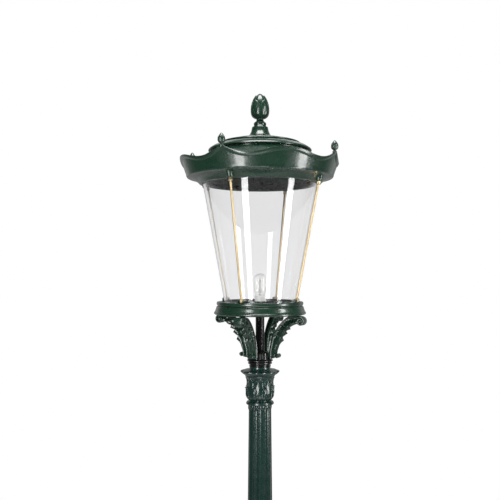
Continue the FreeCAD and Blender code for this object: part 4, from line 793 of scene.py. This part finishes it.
def volute(form, centre, radius, half_width, start, turns):
    """A rolled scroll in side view, its coils stepping in towards a round eye."""
    count = 70
    t = np.linspace(0, 1, count)
    angle = math.radians(start) + TAU * turns * t
    outer = radius * (1 - 0.72 * t)
    inner = outer - radius * (0.30 - 0.12 * t)
    width = half_width * (1 - 0.10 * t)
    rows = []
    for share_out, share_wide in COIL_SECTION:
        reach = inner + (outer - inner) * share_out
        rows.append(np.stack([centre[0] + reach * np.cos(angle), width * share_wide,
                              centre[1] + reach * np.sin(angle)], axis=-1))
    form.tube(np.stack(rows, axis=1))
    eye = outline([
        (0.1, -half_width - 1.5), (radius * 0.22, -half_width - 1), (radius * 0.34, -half_width + 2),
        (radius * 0.34, half_width - 2), (radius * 0.22, half_width + 1), (0.1, half_width + 1.5),
    ])
    turn = np.linspace(0, TAU, 24, endpoint=False)[None, :]
    reach = eye[:, :1]
    form.grid(np.stack([centre[0] + reach * np.cos(turn), eye[:, 1:] + 0 * turn,
                        centre[1] + reach * np.sin(turn)], axis=-1), ring=True)


def arm_pieces():
    for number, turn in enumerate(HEAD_TURNS, 1):
        form = arm_form()
        form.points = [points + [0, 0, ARM_Z] for points in form.points]
        form.turned(turn)
        stands_for = [f"bracket_arm_{number}"]
        piece(f"arm_casting_{number}", form, LANTERN_PAINT, "post", stands_for, 55)


def lamp_pieces():
    """Ceramic holder, clear lamp and its burner on wire supports."""
    deck = lowest("lamp_holder")
    seat = highest("lamp_holder")
    form = Form()
    line = outline([
        (7, deck), (20, deck), (20, deck + 9), (18.8, deck + 11), (18.6, seat - 1.2), (17.6, seat),
        (13.8, seat), (13.8, deck + 4), (7, deck + 4),
    ])
    casting(form, line, 0.9, 96)
    piece("holder_body", form, CERAMIC, "post", ["lamp_holder"])
    form = Form()
    top = highest("lamp_glass")
    line = outline([
        (15.8, seat + 0.3), (16.8, seat + 0.3), (18.0, seat + 8), (22, seat + 24), (22, top - 22),
        (15.6, top - 6.4, -1.8), (0.1, top, -1.7), (0.1, top - 1), (14.9, top - 7.1, 1.7),
        (21, top - 22, 1.8), (21, seat + 24), (17.0, seat + 8),
    ], 8)
    lathe(form, line, 72, closed=True)
    piece("lamp_envelope", form, LAMP_CLEAR, "post", ["lamp_glass"], sharp=GLASS_SHARP)
    form = Form()
    low = lowest("lamp_burner")
    high = highest("lamp_burner")
    line = outline([
        (0.1, low), (2.0, low), (2.6, low + 3), (5.6, low + 9), (6.0, low + 15), (5.0, high - 14),
        (2.6, high - 8), (1.2, high - 6), (0.1, high - 6),
    ])
    lathe(form, softened(line, 1.6), 32)
    loop = [(-9, low - 13), (-10, low + 4), (-11, low + 22), (-8, high - 5), (0, high - 0.5), (8, high - 5),
            (11, low + 22), (10, low + 4), (9, low - 13)]
    bar(form, curve([(0.35 * y, 0.8 * y, z) for y, z in loop], 50), 0.8, 8)
    piece("burner_parts", form, QUARTZ, "post", ["lamp_burner"])


# Column


def capital_piece():
    """Bell with two rows of carved leaves, an eight-lobed lip, an astragal and hanging tips below it."""
    z = CAPITAL_Z
    form = Form()
    line = outline([
        (28.3, 0), (43, 0), (46.8, 0.8), (48.7, 5.5, -1.0), (46.8, 10), (42, 11), (38.0, 12.5),
        (36, 16), (37.5, 22), (43, 33), (45.2, 45), (43.6, 62), (42.4, 78), (44.6, 90), (53, 103, -1.4),
        (65.5, 112.0, -0.8), (68.6, 115), (68.2, 118), (63, 120), (44, 122), (38.5, 124.5), (37, 127),
        (37, 133), (28.3, 133),
    ])
    line[:, 1] += z

    def lobed(radius, angle, height):
        lip = np.clip((height - z - 98) / 10, 0, 1) * np.clip((z + 121.5 - height) / 2, 0, 1)
        return radius - lip * 4.5 * (0.5 - 0.5 * np.cos(8 * angle)) ** 2, height

    casting(form, line, 1.2, 192, lobed)
    tall = ((40, 17), (46, 27), (49.6, 43), (48.4, 58), (46.4, 74), (47.0, 85), (49.6, 92), (51.5, 95))
    short = ((39, 15), (47, 24), (51.5, 36), (51.4, 50), (52.0, 58), (53.5, 58))
    tip = ((40.6, 1), (41.6, -5), (41.4, -12), (40.5, -19))
    leaves(form, 8, z, tall, ((0, 9), (0.25, 17), (0.6, 17), (0.85, 10), (1, 1)),
           lobes=4, notch=0.30, relief=1.0, thickness=4.5, along=60, across=8)
    leaves(form, 8, z, short, ((0, 8), (0.3, 13), (0.7, 11), (1, 1.5)), 22.5,
           lobes=3, notch=0.32, relief=1.2, thickness=4.0, along=44, across=7)
    leaves(form, 12, z, tip, ((0, 8), (0.4, 7.5), (0.8, 3.6), (1, 0.3)), 15,
           lobes=2, notch=0.15, relief=-0.8, thickness=-2.6, along=20, across=5)
    return piece("capital_casting", form, POST_PAINT, "post", ["capital"], 55)


FLUTES = 12
FLUTE_DEPTH = 2.9


def shaft_piece():
    """Fluted, tapering column over its plain tube."""
    foot_radius = 51.0
    head_radius = 39.3
    hidden = lowest("shaft")
    form = Form()
    rows = [(20, highest("shaft")), (28, highest("shaft")), (28, CAPITAL_Z + 0.3), (head_radius, CAPITAL_Z)]
    for share in np.linspace(0, 1, 26)[1:]:
        radius = head_radius + (foot_radius - head_radius) * share
        rows.append((radius, CAPITAL_Z + (SHAFT_Z - CAPITAL_Z) * share))
    rows += [(foot_radius, SHAFT_Z - 6), (foot_radius, hidden), (43, hidden), (43, SHAFT_Z)]
    rows.append((20, CAPITAL_Z))

    def fluted(radius, angle, height):
        phase = (angle * FLUTES / TAU) % 1.0
        hollow = np.sin(math.pi * np.clip((phase - 0.09) / 0.82, 0, 1)) ** 0.8
        ends = np.clip((height - SHAFT_Z + 3) / 3, 0, 1) * np.clip((CAPITAL_Z + 0.1 - height) / 0.1, 0, 1)
        return np.where(radius > 38, radius - FLUTE_DEPTH * hollow * ends, radius), height

    lathe(form, np.array(rows, float), FLUTES * 20, fluted, closed=True)
    return piece("fluted_shaft", form, POST_PAINT, "post", ["shaft"], 50)


def sleeve_piece():
    """Sleeve with its drip flange, vine-carved barrel between beaded borders, collar and leaf band."""
    z = SLEEVE_Z
    line = outline([
        (51.3, 0), (74, 0), (79, 8), (84, 10), (112, 18, 1.5), (117.6, 23), (118, 27), (114, 30.5),
        (84, 48, 4.5), (79, 51.5), (77.5, 56), (74, 60), (76.5, 63.5), (79.5, 69.5, -1.2), (76.5, 76),
        (72, 79), (70, 82), (66, 84), (66, 96), (62.5, 98), (60, 100), (60, 526), (62.5, 528),
        (66, 530), (66, 541), (69, 545), (78, 552), (80.3, 556), (80.5, 566), (78, 575), (72, 580),
        (66, 588, 1.5), (60, 593), (58, 600), (55, 637), (51.3, 637),
    ])
    line[:, 1] += z
    form = Form()
    casting(form, line, 1.6, 192)
    band = ((57.5, 592), (61, 604), (62.2, 618), (61, 630), (58, 637))
    leaves(form, 12, z, band, ((0, 11), (0.4, 13), (0.75, 9), (1, 1)),
           lobes=3, notch=0.25, relief=1.5, thickness=4.5, along=26, across=6)
    barrel_relief(form)
    return piece("sleeve_casting", form, POST_PAINT, "post", ["column_sleeve"], 55)


def barrel_relief(form):
    """Vines that wind up the barrel in six strands, with leaves and flowers, between rows of beads."""
    z = SLEEVE_Z
    low, high = z + 104, z + 522
    radius = 61.5
    strands = 6
    rise = np.linspace(low, high, 90)
    for strand in range(strands):
        turn = 360.0 / strands * strand
        sway = 15.0 * np.sin(TAU * (rise - low) / 105.0)
        bar(form, wrapped(radius + 0 * rise, sway, rise, turn), 2.1, 8)
        for step in range(8):
            middle = low + 26 + 52.25 * step
            side = 1 if step % 2 == 0 else -1
            petal_leaf(form, turn, middle - 14, -side * 5.0, side * 19, radius)
            petal_leaf(form, turn, middle - 8, side * 10.0, -side * 15, radius)
        for step in range(4):
            side = -13.0 if step % 2 else 13.0
            flower(form, radius, turn + math.degrees(side / radius), low + 52 + 104.5 * step, 8.5)
        between = turn + 180.0 / strands
        sway = 3.0 * np.sin(TAU * (rise - low) / 52.25)
        bar(form, wrapped(radius + 0 * rise, sway, rise, between), 1.5, 8)
        for step in range(8):
            middle = low + 6 + 52.25 * step
            petal_leaf(form, between, middle, 1.5, 12, radius)
            petal_leaf(form, between, middle + 2, -1.5, -12, radius)
            bead(form, radius + 0.8, between, middle + 34, 3.6)
    for height in (z + 90, z + 535.5):
        for index in range(36):
            bead(form, 66.0, 10.0 * index, height, 4.2)


def petal_leaf(form, turn, height, start, sweep, radius):
    """A small veined leaf that springs from the vine to one side."""
    t = np.linspace(0, 1, 12)[:, None]
    v = np.linspace(-1, 1, 7)[None, :]
    half = 7.0 * np.sin(math.pi * np.clip(t, 0.04, 0.97)) ** 0.8 * (1 - 0.16 * np.cos(TAU * 3 * t))
    across = start + sweep * t ** 1.1 + v * half * 0.45
    up = height + 20 * t ** 0.8 - v * half * np.sign(sweep) * 0.8
    lift = 1.2 + 1.6 * np.sin(math.pi * t) * (1 - v ** 2) + 0.8 * np.exp(-(v / 0.2) ** 2)
    front = wrapped(radius + lift - 1.6, across, up, turn)
    back = wrapped(radius - 2.5 + 0 * lift, across, up, turn)[:, ::-1]
    form.tube(np.concatenate([front, back], axis=1))


def flower(form, radius, turn, height, size):
    """A five-petalled flower facing out of the barrel."""
    angle = np.linspace(0, TAU, 40, endpoint=False)[None, :]
    reach = np.array([0.02, 0.22, 0.34, 0.6, 0.85, 1.0, 1.0])[:, None] * size
    petal = 1 - 0.22 * (0.5 + 0.5 * np.cos(5 * angle)) * (reach > 0.4 * size)
    lift = np.array([4.0, 3.6, 2.0, 3.0, 2.4, 0.8, -2.5])[:, None] + 0 * angle
    reach = reach * petal
    across = reach * np.cos(angle)
    form.grid(wrapped(radius + lift, across, height + reach * np.sin(angle), turn), ring=True)


def bead(form, radius, turn, height, size):
    """A round bead half sunk in the barrel."""
    angle = np.linspace(0, TAU, 14, endpoint=False)[None, :]
    rise = np.linspace(0.02, math.pi * 0.55, 6)[:, None]
    out = radius + size * np.cos(rise) * 0.8 - 0.6 + 0 * angle
    reach = size * np.sin(rise)
    form.grid(wrapped(out, reach * np.cos(angle), height + reach * np.sin(angle), turn), ring=True)


def octagon(radius, angle):
    """Radius of a soft-cornered octagon of this apothem."""
    away = (angle + math.pi / 8) % (math.pi / 4) - math.pi / 8
    return radius / np.cos(np.sign(away) * np.minimum(np.abs(away), math.pi / 8 - 0.008))


def cap_piece():
    """Octagonal brim, leaf torus and leaved bell."""
    z = CAP_Z
    form = Form()
    brim = outline([
        (44, 0), (116, 0), (145, 4), (155, 9), (157, 12), (157, 19), (152, 24), (121, 30), (90, 31),
        (44, 31),
    ])
    brim[:, 1] += z

    def eight(radius, angle, height):
        return np.where(radius > 95, octagon(radius, angle), radius), height

    casting(form, brim, 2.0, 256, eight)
    bell = outline([
        (51.3, 30), (112, 30), (123, 34), (130.5, 45), (131.5, 56), (127, 68), (116, 77), (108, 80),
        (106, 84), (106.5, 88), (97, 108, 3.0), (88, 135), (81, 172, 3.5), (76, 232), (76, 235),
        (79, 238), (79, 240), (74, 244), (51.3, 244),
    ])
    bell[:, 1] += z

    def curled(radius, angle, height):
        torus = np.clip((height - z - 30) / 6, 0, 1) * np.clip((z + 80 - height) / 6, 0, 1)
        groove = (0.5 - 0.5 * np.cos(16 * angle)) ** 3
        return radius - torus * 6.0 * groove, height

    casting(form, bell, 2.0, 256, curled)
    torus_leaf = ((118, 31), (129, 38), (134.5, 52), (132, 66), (122, 76), (112, 79))
    bell_leaf = ((104, 84), (104.5, 94), (99, 112), (93, 128), (93.5, 139), (97, 141))
    leaves(form, 16, z, torus_leaf, ((0, 15), (0.3, 20), (0.7, 18), (1, 9)),
           lobes=4, notch=0.3, relief=2.2, thickness=5.0, along=40, across=7)
    leaves(form, 12, z, bell_leaf, ((0, 20), (0.35, 23), (0.7, 15), (1, 3)),
           lobes=5, notch=0.3, relief=2.2, thickness=4.5, along=44, across=7)
    return piece("cap_casting", form, POST_PAINT, "post", ["pedestal_cap"], 55)


def eased(node, width):
    """Ease the sharp edges of a casting that keeps its own solid."""
    item = frame["nodes"][node]
    weld = item.modifiers.new("weld", "WELD")
    weld.merge_threshold = 0.00001
    bevel = item.modifiers.new("eased_edges", "BEVEL")
    bevel.width = width * MM
    bevel.segments = 3
    bevel.limit_method = "ANGLE"
    bevel.angle_limit = math.radians(28)
    bevel.harden_normals = True


def finish_nodes():
    """Give each solid that still shows its own finish."""
    finishes = {
        "brass": BRASS, "post_paint": POST_PAINT, "lantern_paint": LANTERN_PAINT, "plated_steel": STEEL,
        "black_plastic": DARK_PLASTIC, "ceramic": CERAMIC, "lantern_glass": CLEAR, "lamp_glass": LAMP_CLEAR,
        "burner": QUARTZ,
    }
    slots = {part["node"]: part["material_slot"] for part in frame["record"]["subparts"]}
    for name, item in frame["nodes"].items():
        item.data.materials.clear()
        item.data.materials.append(finishes[slots[name]])
    for name in ("plinth", "pedestal", "pedestal_door"):
        eased(name, 1.6)
    for name in ("mounting_rail", "terminal_box", "door_screws"):
        eased(name, 0.8)


# Studio


CAMERA_AZIMUTH = 3.5
CAMERA_DISTANCE = 2.444
CAMERA_HEIGHT = 3.213


def aimed(item, spot, target):
    """Put a lamp or camera at a spot, looking at a target."""
    direction = np.array(target, float) - np.array(spot, float)
    item.location = spot
    yaw = math.atan2(direction[0], direction[1])
    pitch = math.atan2(direction[2], math.hypot(direction[0], direction[1]))
    item.rotation_euler = (math.pi / 2 + pitch, 0, -yaw)
    bpy.context.scene.collection.objects.link(item)
    return item


def around(azimuth, distance, height):
    """A spot about the column, by its angle from the front."""
    turn = math.radians(azimuth)
    return (distance * math.sin(turn), -distance * math.cos(turn), height)


def camera():
    data = bpy.data.cameras.new("view")
    data.lens = 50.0
    data.sensor_width = 36.0
    data.shift_x = -0.02
    data.shift_y = 0.042
    spot = around(CAMERA_AZIMUTH, CAMERA_DISTANCE, CAMERA_HEIGHT)
    item = aimed(bpy.data.objects.new("view", data), spot, (0, 0, CAMERA_HEIGHT))
    bpy.context.scene.camera = item


# Each lamp: name, degrees from the camera, distance, height, width, length, watts and the height it faces.
LAMPS = (
    ("front_strip_left", -28.5, 1.45, 3.29, 0.32, 1.72, 26, 3.29),
    ("front_strip_right", 61.5, 1.45, 3.29, 0.32, 1.72, 26, 3.29),
    ("strip_rear_left", 215, 3.4, 2.3, 1.2, 4.0, 3.5, 2.3),
    ("strip_rear_right", 135, 3.4, 2.3, 1.2, 4.0, 3.5, 2.3),
    ("overhead_rear", 180, 2.6, 5.6, 2.6, 1.2, 7, 3.6),
    ("overhead", 0, 0.45, 5.2, 1.3, 1.1, 60, 3.6),
    ("low_front", 0, 1.6, 1.2, 1.6, 0.8, 9, 3.4),
)
SEEN_THROUGH_GLASS = ("front_strip_left", "front_strip_right")


def soft_lamp(name, away, distance, height, width, length, power, aim):
    data = bpy.data.lights.new(name, "AREA")
    data.shape = "RECTANGLE"
    data.size = width
    data.size_y = length
    data.energy = power
    spot = around(CAMERA_AZIMUTH + away, distance, height)
    item = aimed(bpy.data.objects.new(name, data), spot, (0, 0, aim))
    item.visible_camera = False
    item.visible_transmission = name in SEEN_THROUGH_GLASS


BACKDROP = 0.34
ROOM = 0.07
ROOM_EDGE = (0.30, 0.85)
FLOOR_MIDDLE = 0.3
FLOOR_RADIUS = 6.8
FLOOR_DROP = 0.5
FLOOR_IN_GLOSS = (0.58, 0.07)


def studio_world():
    """White behind the object and in the glass. Paint mirrors a pale backdrop and a dim room."""
    world = bpy.data.worlds.new("studio")
    bpy.context.scene.world = world
    world.use_nodes = True
    tree = world.node_tree
    shade = tree.nodes["Background"]
    way = tree.nodes.new("ShaderNodeSeparateXYZ")
    tree.links.new(add(tree, "ShaderNodeTexCoord").outputs["Generated"], way.inputs[0])
    room = spread(tree, way.outputs["Y"], ROOM, BACKDROP, *ROOM_EDGE)
    room.node.interpolation_type = "SMOOTHSTEP"
    path = tree.nodes.new("ShaderNodeLightPath")
    seen = summed(tree, "MAXIMUM", path.outputs["Is Camera Ray"], path.outputs["Is Transmission Ray"])
    strength = tree.nodes.new("ShaderNodeMapRange")
    strength.inputs["To Max"].default_value = 1.0
    tree.links.new(seen, strength.inputs["Value"])
    tree.links.new(room, strength.inputs["To Min"])
    tree.links.new(strength.outputs["Result"], shade.inputs["Strength"])
    shade.inputs["Color"].default_value = (1, 1, 1, 1)


def floor():
    """A pale round floor that keeps the post's shadow and fades to white."""
    form = Form()
    radius = np.concatenate([[0.001], np.linspace(FLOOR_MIDDLE, FLOOR_RADIUS, 24)]) / MM
    lathe(form, np.stack([radius, 0 * radius - FLOOR_DROP], axis=1), 128)
    mesh = form.mesh("floor")
    material, tree, shader, place = nodes_of("pale_floor")
    shader.inputs["Base Color"].default_value = (0.86, 0.86, 0.86, 1)
    shader.inputs["Roughness"].default_value = 0.9
    reach = add(tree, "ShaderNodeVectorMath", operation="LENGTH")
    tree.links.new(place, reach.inputs[0])
    away = spread(tree, reach.outputs["Value"], 0.35, 1.0, 0.8, 3.2)
    near = spread(tree, reach.outputs["Value"], *FLOOR_IN_GLOSS, 1.0, 3.0)
    path = tree.nodes.new("ShaderNodeLightPath")
    direct = summed(tree, "MULTIPLY", away, path.outputs["Is Camera Ray"])
    seen = summed(tree, "MULTIPLY_ADD", path.outputs["Is Glossy Ray"], near, direct)
    white = add(tree, "ShaderNodeEmission", strength=1.0)
    blend = tree.nodes.new("ShaderNodeMixShader")
    tree.links.new(seen, blend.inputs[0])
    tree.links.new(shader.outputs[0], blend.inputs[1])
    tree.links.new(white.outputs[0], blend.inputs[2])
    output = next(node for node in tree.nodes if node.type == "OUTPUT_MATERIAL")
    tree.links.new(blend.outputs[0], output.inputs["Surface"])
    mesh.materials.append(material)
    item = bpy.data.objects.new("floor", mesh)
    bpy.context.scene.collection.objects.link(item)


camera()
for lamp in LAMPS:
    soft_lamp(*lamp)
studio_world()
floor()
finish_nodes()
crown_piece()
lid_piece()
cone_piece()
bud_pieces()
glass_piece()
rod_pieces()
nut_pieces()
gallery_piece()
stem_piece()
arm_pieces()
lamp_pieces()
capital_piece()
shaft_piece()
sleeve_piece()
cap_piece()

bpy.context.scene.view_settings.view_transform = "Standard"
